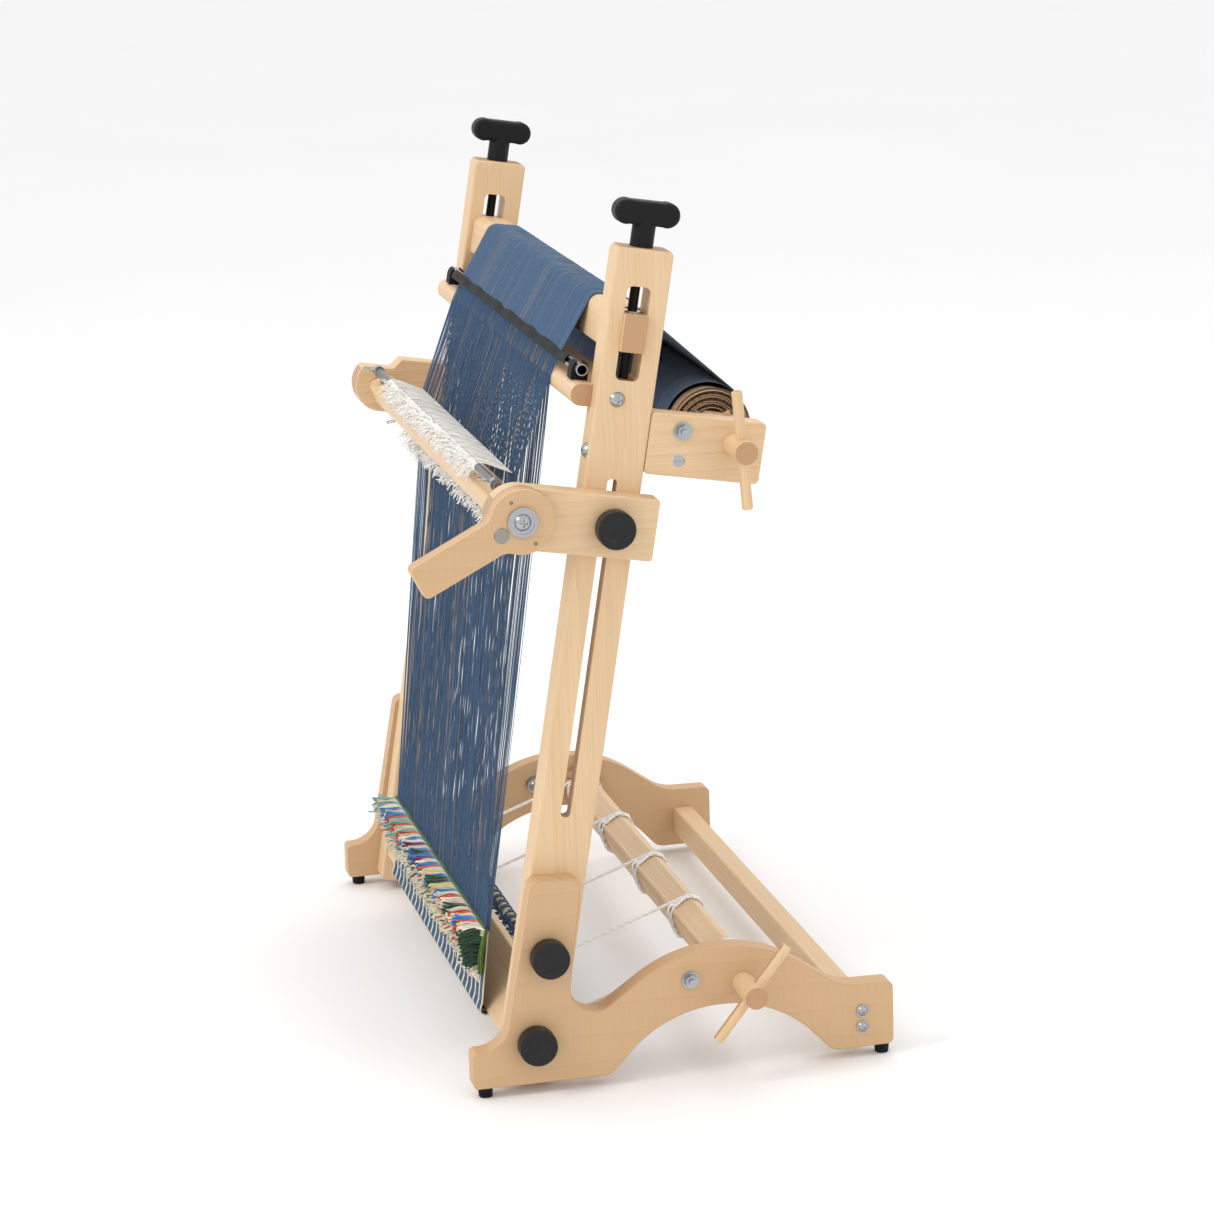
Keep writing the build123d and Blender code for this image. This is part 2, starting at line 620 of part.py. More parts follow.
def shed_bar():
    bar = slab(shed_section(SHED_SQUARE), -PLATE_IN + 0.5, PLATE_IN - 0.5)
    bar += rod_x(JOURNAL_R, PLATE_IN - 1, PLATE_IN + ARM_THICK + DISC_THICK + 6)
    bar += rod_x(JOURNAL_R, -PLATE_IN - ARM_THICK + 6.5, -PLATE_IN + 1)
    return bar - rod_x(2.6, 200, 400)


HANDLE_X = PLATE_IN + ARM_THICK + DISC_THICK + 0.3


def shed_handle():
    """Plywood disc running out into a flat lever."""
    disc = Circle(HANDLE_DISC_R)
    half = LEVER_WIDTH / 2
    lever = make_face(FilletPolyline((0, -half), (LEVER_LENGTH, -half), (LEVER_LENGTH, half), (0, half),
                                     radius=[0.5, 5, 5, 0.5], close=True))
    shape = disc + lever
    inner = [v for v in shape.vertices() if 15 < v.X < 30]
    shape = Rot(0, 0, LEVER_ANGLE) * fillet(inner, 14)
    handle = slab(shape, HANDLE_X, HANDLE_X + HANDLE_THICK)
    handle = fillet(handle.faces().sort_by(Axis.X)[-1].edges(), 1.5)
    handle -= rod_x(JOURNAL_R + 0.05, HANDLE_X - 1, HANDLE_X + 6)
    handle -= rod_x(2.6, HANDLE_X, HANDLE_X + 20)
    plug_y, plug_z = polar(*PLUNGER_AT)
    return handle - rod_x(PLUNGER_R + 0.05, HANDLE_X + 3, HANDLE_X + 20, plug_y, plug_z)


PLUNGER_R = 6.2
PLUNGER_AT = (20.0, 219.0)


def handle_screw():
    """Pan-head screw with its dished washer in the middle of the handle."""
    washer = Cylinder(12.4, 2.0)
    washer -= Pos(0, 0, 1.2) * Cylinder(9.6, 1.6)
    washer = Pos(0, 0, 1.0) * washer
    screw = rod_z(2.5, -55, 1, 0, 0) + Pos(0, 0, 1) * pan_head(7.2, 4.4)
    return Pos(HANDLE_X + HANDLE_THICK, 0, 0) * Rot(0, 90, 0) * (washer + screw)


def detent_plunger():
    body = Cylinder(PLUNGER_R, 10.5)
    body = fillet(body.edges().filter_by(GeomType.CIRCLE), 0.8)
    x = HANDLE_X + 3 + 10.5 / 2
    return Pos(x, *polar(*PLUNGER_AT)) * Rot(0, 90, 0) * body


def heddle_rods():
    return [rod_x(HEDDLE_R, -278, 278, *heddle_place(side)) for side in BOTH]


def rod_clips():
    """Stems and eyes that hold the ends of the two heddle rods off the bar."""
    clips = []
    for side in BOTH:
        back, up = heddle_place(side)
        eye = rod_x(HEDDLE_R + 1.8, 263, 271, back, up)
        low, high = SHED_SQUARE / 2 + 0.05, HEDDLE_STAND - 1
        stem = Pos(267, 0, 0) * Rot(SHED_TURN, 0, 0) * Pos(0, 0, side * (low + high) / 2)
        stem *= Box(6, 6, high - low)
        clip = eye + Pos(0, *SHED_OFFSET) * stem - rod_x(HEDDLE_R + 0.03, 250, 290, back, up)
        clips += [clip, mirrored(clip)]
    return clips


def leashes():
    """Sheets of heddle loops from the two rods back to the warp, shown at the shed bar."""
    upper_v, upper_u = heddle_place(1)
    lower_v, lower_u = heddle_place(-1)
    over = [(SHED_V + upper_v + 0.5, SHED_U + upper_u + HEDDLE_R + 0.5), (-38.0, 491.0)]
    under = [(-35.9, 456.5), (-37.6, 450.0), (SHED_V + lower_v, SHED_U + lower_u - HEDDLE_R - 0.5)]
    return [yarn_strip(over, WARP_HALF - 12, 1.0), yarn_strip(under, WARP_HALF - 12, 1.0)]


# ---------------------------------------------------------------- assembly

def write(name, shape, frame=Pos(0, 0, 0)):
    solids = shape if isinstance(shape, list) else [shape]
    placed = [ORIGIN * frame * s for s in solids]
    export_step(placed[0] if len(placed) == 1 else Compound(children=placed), f"parts/{name}.step")


def write_sides(name, part, frame=Pos(0, 0, 0)):
    write(name + "_right", part, frame)
    write(name + "_left", mirrored(part), frame)


def write_base():
    write_sides("side_plate", side_plate())
    write("rear_stretcher", rear_stretcher())
    write("stretcher_screws", stretcher_screws())
    write("rubber_feet", rubber_feet())
    bolt = Pos(0, PAWL_Y, PAWL_Z) * pawl_bolt(PLATE_IN, HALF_WIDTH, PLATE_IN - 5.6)
    write("cloth_pawl_bolts", [bolt, mirrored(bolt)])
    strap = Pos(0, PAWL_Y, PAWL_Z) * Rot(CLOTH_PAWL_REST, 0, 0) * pawl(PLATE_IN, 24, 9)
    write_sides("cloth_pawl", strap)
    write("apron_cords", apron_cords())


CLOTH_PAWL_REST = 24.0
WARP_PAWL_REST = 24.0


def write_cloth_beam():
    axis = Pos(0, CLOTH_Y, CLOTH_Z)
    write("cloth_beam", winding_beam(CLOTH_BEAM_HALF, BEAM_TURN, True), axis)
    write("cloth_beam_spindles", spindles(CLOTH_BEAM_HALF, HALF_WIDTH, CLOTH_SPINDLE_OUT, 51), axis)
    write("cloth_beam_handle", handle_dowel(HALF_WIDTH + CLOTH_SPINDLE_OUT - HANDLE_INSET, 51), axis)
    y, z = polar(*CLOTH_ROD_AT)
    write("cloth_beam_rod", rod_x(CLOTH_ROD_R, -CLOTH_BEAM_HALF, CLOTH_BEAM_HALF, y, z), axis)
    write("cloth_ratchets", ratchets(PLATE_IN, 0), axis)
    write("cord_loops", cord_loops(), axis)


def write_mast():
    write_sides("post", post(), MAST)
    write_sides("bracket", bracket(), MAST)
    write("pan_head_bolts", pan_head_bolts(), MAST)
    write("barrel_nuts", barrel_nuts(), MAST)
    write("front_rail", front_rail(), MAST)
    write("lease_tube", lease_tube(), MAST)
    write("tube_clips", tube_clips(), MAST)
    write("warp_clamp", warp_clamp(), MAST)
    write("breast_board", breast_board(), MAST)
    write("apron_rod", apron_rod(), MAST)
    inner = PLATE_IN - BRACKET_THICK
    bolt = Pos(0, WARP_PAWL_V, WARP_PAWL_U) * pawl_bolt(inner, PLATE_IN, inner - 5.6)
    write("warp_pawl_bolts", [bolt, mirrored(bolt)], MAST)
    strap = Pos(0, WARP_PAWL_V, WARP_PAWL_U) * Rot(WARP_PAWL_REST, 0, 0) * pawl(inner, 22, 9)
    write_sides("warp_pawl", strap, MAST)
    write("warp_back_layer", warp_back_layer(), MAST)
    write("warp_front_layer", warp_front_layer(), MAST)
    write("tapestry", tapestry(), MAST)


def write_warp_beam():
    frame = MAST * Pos(0, WARP_V, WARP_U)
    inner = PLATE_IN - BRACKET_THICK
    write("warp_beam", winding_beam(WARP_BEAM_HALF, 0, False), frame)
    write("warp_beam_spindles", spindles(WARP_BEAM_HALF, PLATE_IN, WARP_SPINDLE_OUT, 104), frame)
    write("warp_beam_handle", handle_dowel(PLATE_IN + WARP_SPINDLE_OUT - HANDLE_INSET, 104), frame)
    write("warp_ratchets", ratchets(inner, 0), frame)
    write("warp_roll", warp_roll(), frame)


def write_upper_beam():
    write("upper_beam", upper_beam(), MAST)
    write("beam_nuts", beam_nuts(), MAST)
    write("warp_over_beam", warp_over_beam(), MAST)
    write_sides("tension_screw", tension_screw(), MAST)


def write_knobs():
    write_sides("pivot_knob", clamp_knob(HALF_WIDTH, PIVOT_V, PIVOT_U, 37), MAST)
    write_sides("tilt_knob", clamp_knob(HALF_WIDTH, PIVOT_V, PIVOT_U - TILT_RADIUS, 37), MAST)
    arm_out = PLATE_IN + ARM_THICK
    write_sides("arm_knob", clamp_knob(arm_out, SLOT_V, SHED_U, ARM_THICK + POST_THICK - 4), MAST)


def write_shed():
    write("shed_arm_right", shed_arm(1), MAST)
    write("shed_arm_left", shed_arm(-1), MAST)
    write("thrust_disc", thrust_disc(), MAST)
    write("arm_nuts", arm_nuts(), MAST)
    axis = MAST * Pos(0, SHED_V, SHED_U)
    write("shed_bar", shed_bar(), axis)
    write("shed_handle", shed_handle(), axis)
    write("handle_screw", handle_screw(), axis)
    write("detent_plunger", detent_plunger(), axis)
    write("heddle_rods", heddle_rods(), axis)
    write("rod_clips", rod_clips(), axis)
    write("leashes", leashes(), MAST)


os.makedirs("parts", exist_ok=True)
write_base()
write_cloth_beam()
write_mast()
write_warp_beam()
write_upper_beam()
write_knobs()
write_shed()
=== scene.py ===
import json
from math import cos, pi, radians, sin

import bpy
import numpy as np
from mathutils import Matrix, Vector


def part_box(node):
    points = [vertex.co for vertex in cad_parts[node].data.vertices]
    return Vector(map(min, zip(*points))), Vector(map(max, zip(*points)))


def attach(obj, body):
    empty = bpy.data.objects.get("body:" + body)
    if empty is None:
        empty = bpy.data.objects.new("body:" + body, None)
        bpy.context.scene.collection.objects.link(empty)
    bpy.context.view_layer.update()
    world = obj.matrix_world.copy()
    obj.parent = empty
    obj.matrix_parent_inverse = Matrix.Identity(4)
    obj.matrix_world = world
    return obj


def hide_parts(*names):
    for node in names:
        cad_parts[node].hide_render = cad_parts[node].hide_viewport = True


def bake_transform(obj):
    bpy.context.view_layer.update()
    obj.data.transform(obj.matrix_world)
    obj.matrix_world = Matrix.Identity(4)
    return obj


# The looks of a tapestry loom. Metres in Blender; the mast's own coordinates are in
# millimetres, v back from the posts' front face and u up along them.

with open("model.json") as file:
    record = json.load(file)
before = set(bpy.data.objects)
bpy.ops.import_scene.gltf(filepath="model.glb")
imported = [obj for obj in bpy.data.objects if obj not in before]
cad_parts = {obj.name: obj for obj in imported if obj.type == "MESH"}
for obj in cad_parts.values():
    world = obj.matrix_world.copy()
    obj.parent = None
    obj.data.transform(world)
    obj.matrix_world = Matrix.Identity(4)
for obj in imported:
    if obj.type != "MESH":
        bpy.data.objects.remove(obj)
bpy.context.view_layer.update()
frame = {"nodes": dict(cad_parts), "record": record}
nodes = frame["nodes"]
joints = {j["name"]: j for j in frame["record"]["behaviour"]["joints"]}
rng = np.random.default_rng(11)

MM = 0.001
LEAN = radians(10)
PIVOT = Vector(joints["mast_tilt"]["pos_m"])
PIVOT_V, PIVOT_U = 19.5, 113.0
MAST_UP = Vector((0, sin(LEAN), cos(LEAN)))

NAVY = (0.042, 0.112, 0.215)
CREAM = (0.78, 0.72, 0.58)
WHITE = (0.88, 0.86, 0.82)
TAN = (0.28, 0.21, 0.17)


def mast(x, v, u):
    """Points given in the mast's frame, as metres in the row frame."""
    x, v, u = np.broadcast_arrays(np.asarray(x, float), v, u)
    back, up = v - PIVOT_V, u - PIVOT_U
    y = PIVOT.y + MM * (back * cos(LEAN) + up * sin(LEAN))
    z = PIVOT.z + MM * (-back * sin(LEAN) + up * cos(LEAN))
    return np.stack([PIVOT.x + MM * x, y, z], axis=-1)


# ---------------------------------------------------------------- materials

class Shader:
    """A short way to write a node tree: every call adds a node and returns its output."""

    def __init__(self, name):
        self.material = bpy.data.materials.new(name)
        self.material.use_nodes = True
        self.tree = self.material.node_tree
        self.bsdf = self.tree.nodes["Principled BSDF"]

    def add(self, kind, inputs=(), output=0, **settings):
        node = self.tree.nodes.new(kind)
        for key, value in settings.items():
            setattr(node, key, value)
        for key, value in dict(inputs).items():
            self.set(node.inputs[key], value)
        return node.outputs[output]

    def set(self, socket, value):
        if isinstance(value, bpy.types.NodeSocket):
            self.tree.links.new(value, socket)
        elif isinstance(value, tuple) and len(value) == 3 and len(socket.default_value) == 4:
            socket.default_value = (*value, 1)
        else:
            socket.default_value = value

    def math(self, operation, a, b=0.0, c=0.0):
        return self.add("ShaderNodeMath", {0: a, 1: b, 2: c}, operation=operation)

    def mix(self, factor, a, b, blend="MIX"):
        return self.add("ShaderNodeMix", {0: factor, 6: a, 7: b}, 2, data_type="RGBA", blend_type=blend)

    def noise(self, vector, scale, detail=4.0, rough=0.55):
        return self.add("ShaderNodeTexNoise", {"Vector": vector, "Scale": scale, "Detail": detail,
                                               "Roughness": rough})

    def ramp(self, factor, stops):
        node = self.tree.nodes.new("ShaderNodeValToRGB")
        elements = node.color_ramp.elements
        while len(elements) < len(stops):
            elements.new(0.5)
        for element, (place, colour) in zip(elements, stops):
            element.position = place
            element.color = (*colour, 1)
        self.set(node.inputs[0], factor)
        return node.outputs[0]

    def coords(self, rotation=0.0, scale=(1, 1, 1)):
        where = self.add("ShaderNodeTexCoord", output=3)
        return self.add("ShaderNodeMapping", {"Vector": where, "Rotation": (rotation, 0, 0), "Scale": scale})

    def end_on(self, direction, edge=0.85):
        """1 on the faces that look along direction, either way."""
        normal = self.add("ShaderNodeTexCoord", output=1)
        dot = self.add("ShaderNodeVectorMath", {0: normal, 1: tuple(direction)}, 1, operation="DOT_PRODUCT")
        return self.math("GREATER_THAN", self.math("ABSOLUTE", dot), edge)

    def finish(self, colour, roughness, bump=None, strength=0.2, distance=0.0002, **more):
        self.set(self.bsdf.inputs["Base Color"], colour)
        self.set(self.bsdf.inputs["Roughness"], roughness)
        if bump is not None:
            normal = self.add("ShaderNodeBump", {"Height": bump, "Strength": strength, "Distance": distance})
            self.set(self.bsdf.inputs["Normal"], normal)
        for key, value in more.items():
            self.set(self.bsdf.inputs[key.replace("_", " ")], value)
        return self.material


WOOD_LIGHT = (0.76, 0.56, 0.34)
WOOD_MID = (0.69, 0.475, 0.265)
WOOD_DARK = (0.53, 0.31, 0.15)
PLY_PAIR = 0.0031          # one light and one dark ply together
SCREW_PITCH = 0.00125


def stretched(along, across, axis):
    scale = [across] * 3
    scale["XYZ".index(axis)] = along
    return tuple(scale)


def wood(name, axis, lean=0.0, warm=0.0):
    """Maple whose grain runs along one axis, with darker, ringed end grain."""
    s = Shader(name)
    broad = s.noise(s.coords(lean, stretched(1.2, 22, axis)), 1.0, 5, 0.6)
    streaks = s.noise(s.coords(lean, stretched(9, 900, axis)), 1.0, 3, 0.7)
    rings = s.add("ShaderNodeTexWave", {
        "Vector": s.coords(lean, stretched(2.2, 40, axis)), "Scale": 1.0, "Distortion": 7.0, "Detail": 2.0,
        "Detail Scale": 1.3}, 1, wave_type="RINGS", rings_direction=axis, wave_profile="SAW")
    blend = s.math("MULTIPLY_ADD", broad, 0.65, s.math("MULTIPLY", rings, 0.38))
    between = tuple((a + b) / 2 for a, b in zip(WOOD_LIGHT, WOOD_MID))
    colour = s.ramp(blend, [(0.25, WOOD_LIGHT), (0.55, between), (0.92, WOOD_MID)])
    colour = s.mix(s.math("MULTIPLY", s.math("POWER", streaks, 2.4), 1.0), colour, WOOD_DARK)
    direction = {"X": Vector((1, 0, 0)), "Y": Vector((0, cos(lean), -sin(lean))),
                 "Z": Vector((0, sin(lean), cos(lean)))}[axis]
    ends = s.add("ShaderNodeTexWave", {"Vector": s.coords(lean), "Scale": 300.0, "Distortion": 3.0,
                 "Detail": 2.0}, 1, wave_type="RINGS", rings_direction=axis)
    end_colour = s.mix(ends, (0.52, 0.31, 0.16), (0.42, 0.235, 0.11))
    colour = s.mix(s.end_on(direction), colour, end_colour)
    colour = s.mix(warm, colour, (0.62, 0.35, 0.15))
    rough = s.math("MULTIPLY_ADD", streaks, 0.25, 0.36)
    return s.finish(colour, rough, streaks, 0.25, 0.00015, Coat_Weight=0.08, Coat_Roughness=0.3)


def plywood(name, lean=0.0):
    """Birch plywood lying across X: rotary figure on its faces, plies on its edges."""
    s = Shader(name)
    flow = s.add("ShaderNodeTexNoise", {"Vector": s.coords(lean, (1, 5, 9)), "Scale": 1.0, "Detail": 2.0}, 1)
    bent = s.add("ShaderNodeMix", {0: 0.12, 4: s.coords(lean, (1, 5, 26)), 5: flow}, 1,
                 data_type="VECTOR")
    lines = s.add("ShaderNodeTexWave", {
        "Vector": bent, "Scale": 0.55, "Distortion": 5.5, "Detail": 3.0, "Detail Scale": 0.8},
        1, bands_direction="Z", wave_profile="SAW")
    fibres = s.noise(s.coords(lean, (900, 900, 14)), 1.0, 3, 0.7)
    face = s.ramp(lines, [(0.0, (0.60, 0.39, 0.21)), (0.9, (0.59, 0.38, 0.203)),
                          (1.0, (0.575, 0.365, 0.193))])
    face = s.mix(s.math("MULTIPLY", s.math("POWER", fibres, 3.0), 0.45), face, (0.44, 0.26, 0.12))
    where = s.add("ShaderNodeTexCoord", output=3)
    x = s.add("ShaderNodeSeparateXYZ", {0: where})
    ply = s.math("FRACT", s.math("DIVIDE", x, PLY_PAIR))
    grain = s.noise(s.coords(lean, (300, 60, 60)), 6.0, 3)
    edge = s.mix(s.math("GREATER_THAN", ply, 0.5), (0.74, 0.50, 0.28), (0.50, 0.28, 0.13))
    edge = s.mix(s.math("MULTIPLY", grain, 0.45), edge, (0.38, 0.20, 0.09))
    colour = s.mix(s.end_on((1, 0, 0), 0.9), edge, face)
    rough = s.math("MULTIPLY_ADD", fibres, 0.25, 0.40)
    return s.finish(colour, rough, fibres, 0.2, 0.00012, Coat_Weight=0.06, Coat_Roughness=0.35)


def metal(name, colour, roughness, brushed=None):
    s = Shader(name)
    scale = brushed or (300, 300, 300)
    speckle = s.noise(s.coords(0, scale), 4.0, 4)
    tone = s.mix(s.math("MULTIPLY", speckle, 0.5), colour, tuple(c * 0.62 for c in colour))
    rough = s.math("MULTIPLY_ADD", speckle, 0.22, roughness - 0.06)
    return s.finish(tone, rough, speckle, 0.08, 0.0001, Metallic=1.0)


def black_plastic(name, roughness, texture):
    s = Shader(name)
    cells = s.noise(s.coords(), texture, 3, 0.6)
    colour = s.mix(cells, (0.006, 0.006, 0.007), (0.016, 0.016, 0.018))
    rough = s.math("MULTIPLY_ADD", cells, 0.18, roughness)
    return s.finish(colour, rough, cells, 0.25, 0.0001, Specular_IOR_Level=0.28)


def screw_and_tee(name, top_u):
    """Black tee knob above the post, threaded black steel below it."""
    s = Shader(name)
    where = s.add("ShaderNodeTexCoord", output=3)
    up = s.add("ShaderNodeVectorMath", {0: where, 1: tuple(MAST_UP)}, 1, operation="DOT_PRODUCT")
    level = s.math("LESS_THAN", up, float(MAST_UP.dot(Vector(mast(0, 23, top_u)))))
    thread = s.math("SINE", s.math("MULTIPLY", up, 2 * pi / SCREW_PITCH))
    cells = s.noise(s.coords(), 900, 3, 0.6)
    height = s.add("ShaderNodeMix", {0: level, 2: cells, 3: thread})
    colour = s.mix(cells, (0.004, 0.004, 0.005), (0.011, 0.011, 0.012))
    rough = s.math("MULTIPLY_ADD", level, -0.16, 0.46)
    return s.finish(colour, rough, height, 0.55, 0.0003, Specular_IOR_Level=0.18)


def rubber(name):
    s = Shader(name)
    dust = s.noise(s.coords(), 500, 5, 0.65)
    colour = s.mix(dust, (0.004, 0.004, 0.005), (0.012, 0.012, 0.013))
    rough = s.math("MULTIPLY_ADD", dust, 0.3, 0.42)
    return s.finish(colour, rough, dust, 0.3, 0.0002, Specular_IOR_Level=0.15)


def yarn(name, fuzz=0.35, sheen=0.3, roughness=0.85):
    """Spun yarn in the colour that each strand carries, mottled and finely twisted."""
    s = Shader(name)
    tint = s.add("ShaderNodeAttribute", attribute_name="tint")
    mottle = s.noise(s.coords(), 260, 4, 0.65)
    ply = s.noise(s.coords(0, (1600, 1600, 1600)), 1.0, 2)
    shade = s.mix(s.math("MULTIPLY", mottle, fuzz * 2), tint, (0.0, 0.0, 0.0), "SOFT_LIGHT")
    shade = s.mix(s.math("MULTIPLY", ply, fuzz), shade, (0.9, 0.9, 0.9), "SOFT_LIGHT")
    return s.finish(shade, roughness, ply, 0.5, 0.0003, Sheen_Weight=sheen, Sheen_Roughness=0.4)


def card(name, light, dark):
    s = Shader(name)
    fibres = s.noise(s.coords(), 420, 5, 0.7)
    flutes = s.noise(s.coords(0, (3, 90, 90)), 1.0, 2)
    colour = s.mix(fibres, light, dark)
    colour = s.mix(s.math("MULTIPLY", flutes, 0.25), colour, tuple(c * 0.8 for c in dark))
    return s.finish(colour, 0.85, fibres, 0.3, 0.0002)


# ---------------------------------------------------------------- meshes

def mesh_object(name, verts, faces, material, tints=None, smooth=True):
    mesh = bpy.data.meshes.new(name)
    verts = np.asarray(verts, np.float32).reshape(-1, 3)
    faces = np.asarray(faces, np.int32)
    count, corners = faces.shape
    mesh.vertices.add(len(verts))
    mesh.vertices.foreach_set("co", verts.ravel())
    mesh.loops.add(count * corners)
    mesh.loops.foreach_set("vertex_index", faces.ravel())
    mesh.polygons.add(count)
    mesh.polygons.foreach_set("loop_start", np.arange(0, count * corners, corners, dtype=np.int32))
    mesh.update(calc_edges=True)
    mesh.polygons.foreach_set("use_smooth", np.full(count, smooth))
    if tints is not None:
        layer = mesh.color_attributes.new("tint", "FLOAT_COLOR", "POINT")
        rgba = np.ones((len(verts), 4), np.float32)
        rgba[:, :3] = tints
        layer.data.foreach_set("color", rgba.ravel())
    mesh.materials.append(material)
    piece = bpy.data.objects.new(name, mesh)
    bpy.context.scene.collection.objects.link(piece)
    return piece


def strands(name, paths, radius, material, tints, sides=5):
    """Round strands, one for each path of equal point count; tints is one colour for each."""
    paths = np.asarray(paths, float)
    n, p, _ = paths.shape
    radius = np.broadcast_to(np.asarray(radius, float), (n, p))
    tangent = np.gradient(paths, axis=1)
    tangent /= np.linalg.norm(tangent, axis=2, keepdims=True) + 1e-12
    overall = np.abs(paths[:, -1] - paths[:, 0])
    ref = np.zeros((n, 1, 3))
    ref[np.arange(n), 0, np.argmin(overall, axis=1)] = 1.0
    side = np.cross(tangent, ref)
    side /= np.linalg.norm(side, axis=2, keepdims=True) + 1e-12
    other = np.cross(tangent, side)
    angles = np.arange(sides) * 2 * pi / sides
    ring = (side[:, :, None] * np.cos(angles)[:, None] + other[:, :, None] * np.sin(angles)[:, None])
    verts = paths[:, :, None] + ring * radius[:, :, None, None]
    index = np.arange(n * p * sides).reshape(n, p, sides)
    a, b = index[:, :-1], index[:, 1:]
    quads = np.stack([a, np.roll(a, -1, 2), np.roll(b, -1, 2), b], axis=-1).reshape(-1, 4)
    colours = np.repeat(np.asarray(tints, float).reshape(n, 3), p * sides, axis=0)
    return mesh_object(name, verts, quads, material, colours)


def ribbon(name, paths, material, tints=None):
    """Surfaces through rows of points: paths is rows by points by 3."""
    paths = np.asarray(paths, float)
    rows, points, _ = paths.shape
    index = np.arange(rows * points).reshape(rows, points)
    quads = np.stack([index[:-1, :-1], index[:-1, 1:], index[1:, 1:], index[1:, :-1]], axis=-1)
    return mesh_object(name, paths, quads.reshape(-1, 4), material, tints)


def resample(points, count):
    """Evenly spaced points along a bent line."""
    points = np.asarray(points, float)
    steps = np.r_[0, np.cumsum(np.linalg.norm(np.diff(points, axis=0), axis=1))]
    at = np.linspace(0, steps[-1], count)
    return np.stack([np.interp(at, steps, points[:, k]) for k in range(points.shape[1])], axis=1)


def arc(centre, radius, first, last, count):
    angles = np.radians(np.linspace(first, last, count))
    return np.stack([centre[0] + radius * np.cos(angles), centre[1] + radius * np.sin(angles)], axis=1)


def twisted(path, radius, pitch, turns_of=3):
    """Plies laid round a path of metres, as one strand path each."""
    path = np.asarray(path, float)
    length = np.r_[0, np.cumsum(np.linalg.norm(np.diff(path, axis=0), axis=1))]
    tangent = np.gradient(path, axis=0)
    tangent /= np.linalg.norm(tangent, axis=1, keepdims=True)
    side = np.cross(tangent, (1.0, 0.05, 0.02))
    side /= np.linalg.norm(side, axis=1, keepdims=True)
    other = np.cross(tangent, side)
    plies = []
    for k in range(turns_of):
        angle = (2 * pi * (length / pitch + k / turns_of))[:, None]
        plies.append(path + radius * (side * np.cos(angle) + other * np.sin(angle)))
    return plies


def shades(colour, count, spread=0.12):
    """One colour, a little different for every strand."""
    factor = 1 + spread * rng.normal(size=(count, 1))
    return np.clip(np.asarray(colour) * factor, 0.002, 1.0)


def place(piece, body, *stands_for, slot=None):
    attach(piece, body)
    if stands_for:
        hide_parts(*stands_for)
    return piece


# ---------------------------------------------------------------- warp

WARP_HALF = 206.5
BEAM_ENDS = 600            # warp ends side by side over the upper beam
LOWER_ENDS = 262           # ends that show in each layer below the clamped tube
TUBE_V, TUBE_U, TUBE_R = -7.8, 593.7, 5.0
BEAM_V, BEAM_TOP, BEAM_TOP_R = (5.5, 40.5), 649.0, 9.0
WARP_V, WARP_U, ROLL_R = 119.9, 549.9, 36.0
FELL_U = 97.5
APRON_V, APRON_U, APRON_R = 65.3, 49.3, 4.8
RAIL_NOSE_V, RAIL_TOP = -17.5, 584.5
GROUPS, PER_GROUP = 26, 16  # bundles of warp tied to the apron rod, and ends in each
BUNDLE = 2 * WARP_HALF / GROUPS


def warp_tints(count, tan_every):
    colours = shades(NAVY, count, 0.10)
    colours[rng.random(count) < 1 / tan_every] = TAN
    return colours


def warp_threads(name, profile, count, radius, wander, offset=0.0, tan_every=28, depth=0.0):
    """Parallel warp ends that follow a profile of (v, u) points, each astray in mid-span."""
    xs = np.linspace(-WARP_HALF, WARP_HALF, count) + offset
    profile = np.asarray(profile, float)
    run = np.r_[0, np.cumsum(np.linalg.norm(np.diff(profile, axis=0), axis=1))]
    bow = np.sin(pi * run / run[-1])[None, :]
    x = xs[:, None] + bow * rng.normal(size=(count, 1)) * wander
    x = x + np.sin(2 * pi * run / run[-1])[None, :] * rng.normal(size=(count, 1)) * wander * 0.4
    lift = rng.normal(size=(count, 1)) * 0.12
    back = lift * 0.6 + bow * rng.normal(size=(count, 1)) * depth
    paths = mast(x, profile[None, :, 0] + back, profile[None, :, 1] + lift)
    return strands(name, paths, radius * MM, YARN_WARP, warp_tints(count, tan_every), 4)


def tangent_point(point, centre, radius):
    """Where a straight line from point touches a circle, on its back upper side."""
    dv, du = point[0] - centre[0], point[1] - centre[1]
    angle = np.arctan2(du, dv) - np.arccos(radius / np.hypot(dv, du))
    return centre[0] + radius * np.cos(angle), centre[1] + radius * np.sin(angle)


def over_beam_warp():
    front_v, back_v = BEAM_V[0] + BEAM_TOP_R, BEAM_V[1] - BEAM_TOP_R
    bend = BEAM_TOP_R + 0.9
    front = arc((front_v, BEAM_TOP - BEAM_TOP_R), bend, 158, 90, 7)
    back = arc((back_v, BEAM_TOP - BEAM_TOP_R), bend, 90, 30, 7)
    tube = arc((TUBE_V, TUBE_U), TUBE_R + 0.6, 195, 159, 3)
    rise = resample([tube[-1], front[0]], 6)[1:-1]
    fall = resample([back[-1], tangent_point(back[-1], (WARP_V, WARP_U), ROLL_R + 0.4)], 7)[1:]
    split = (front_v + back_v) / 2
    half_one = np.vstack([tube, rise, front, [[split, BEAM_TOP + 0.9]]])
    half_two = np.vstack([[[split, BEAM_TOP + 0.9]], back, fall])
    up = warp_threads("warp_up_to_beam", half_one, BEAM_ENDS, 0.42, 0.10)
    down = warp_threads("warp_down_to_roll", half_two, BEAM_ENDS, 0.42, 0.10)
    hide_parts("warp_over_beam")
    tuple(mast(0, *tube[0]))
    tuple(mast(0, *front[0]))
    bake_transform(up)
    tuple(mast(0, *back[-1]))
    tuple(mast(0, *fall[-1]))
    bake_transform(down)


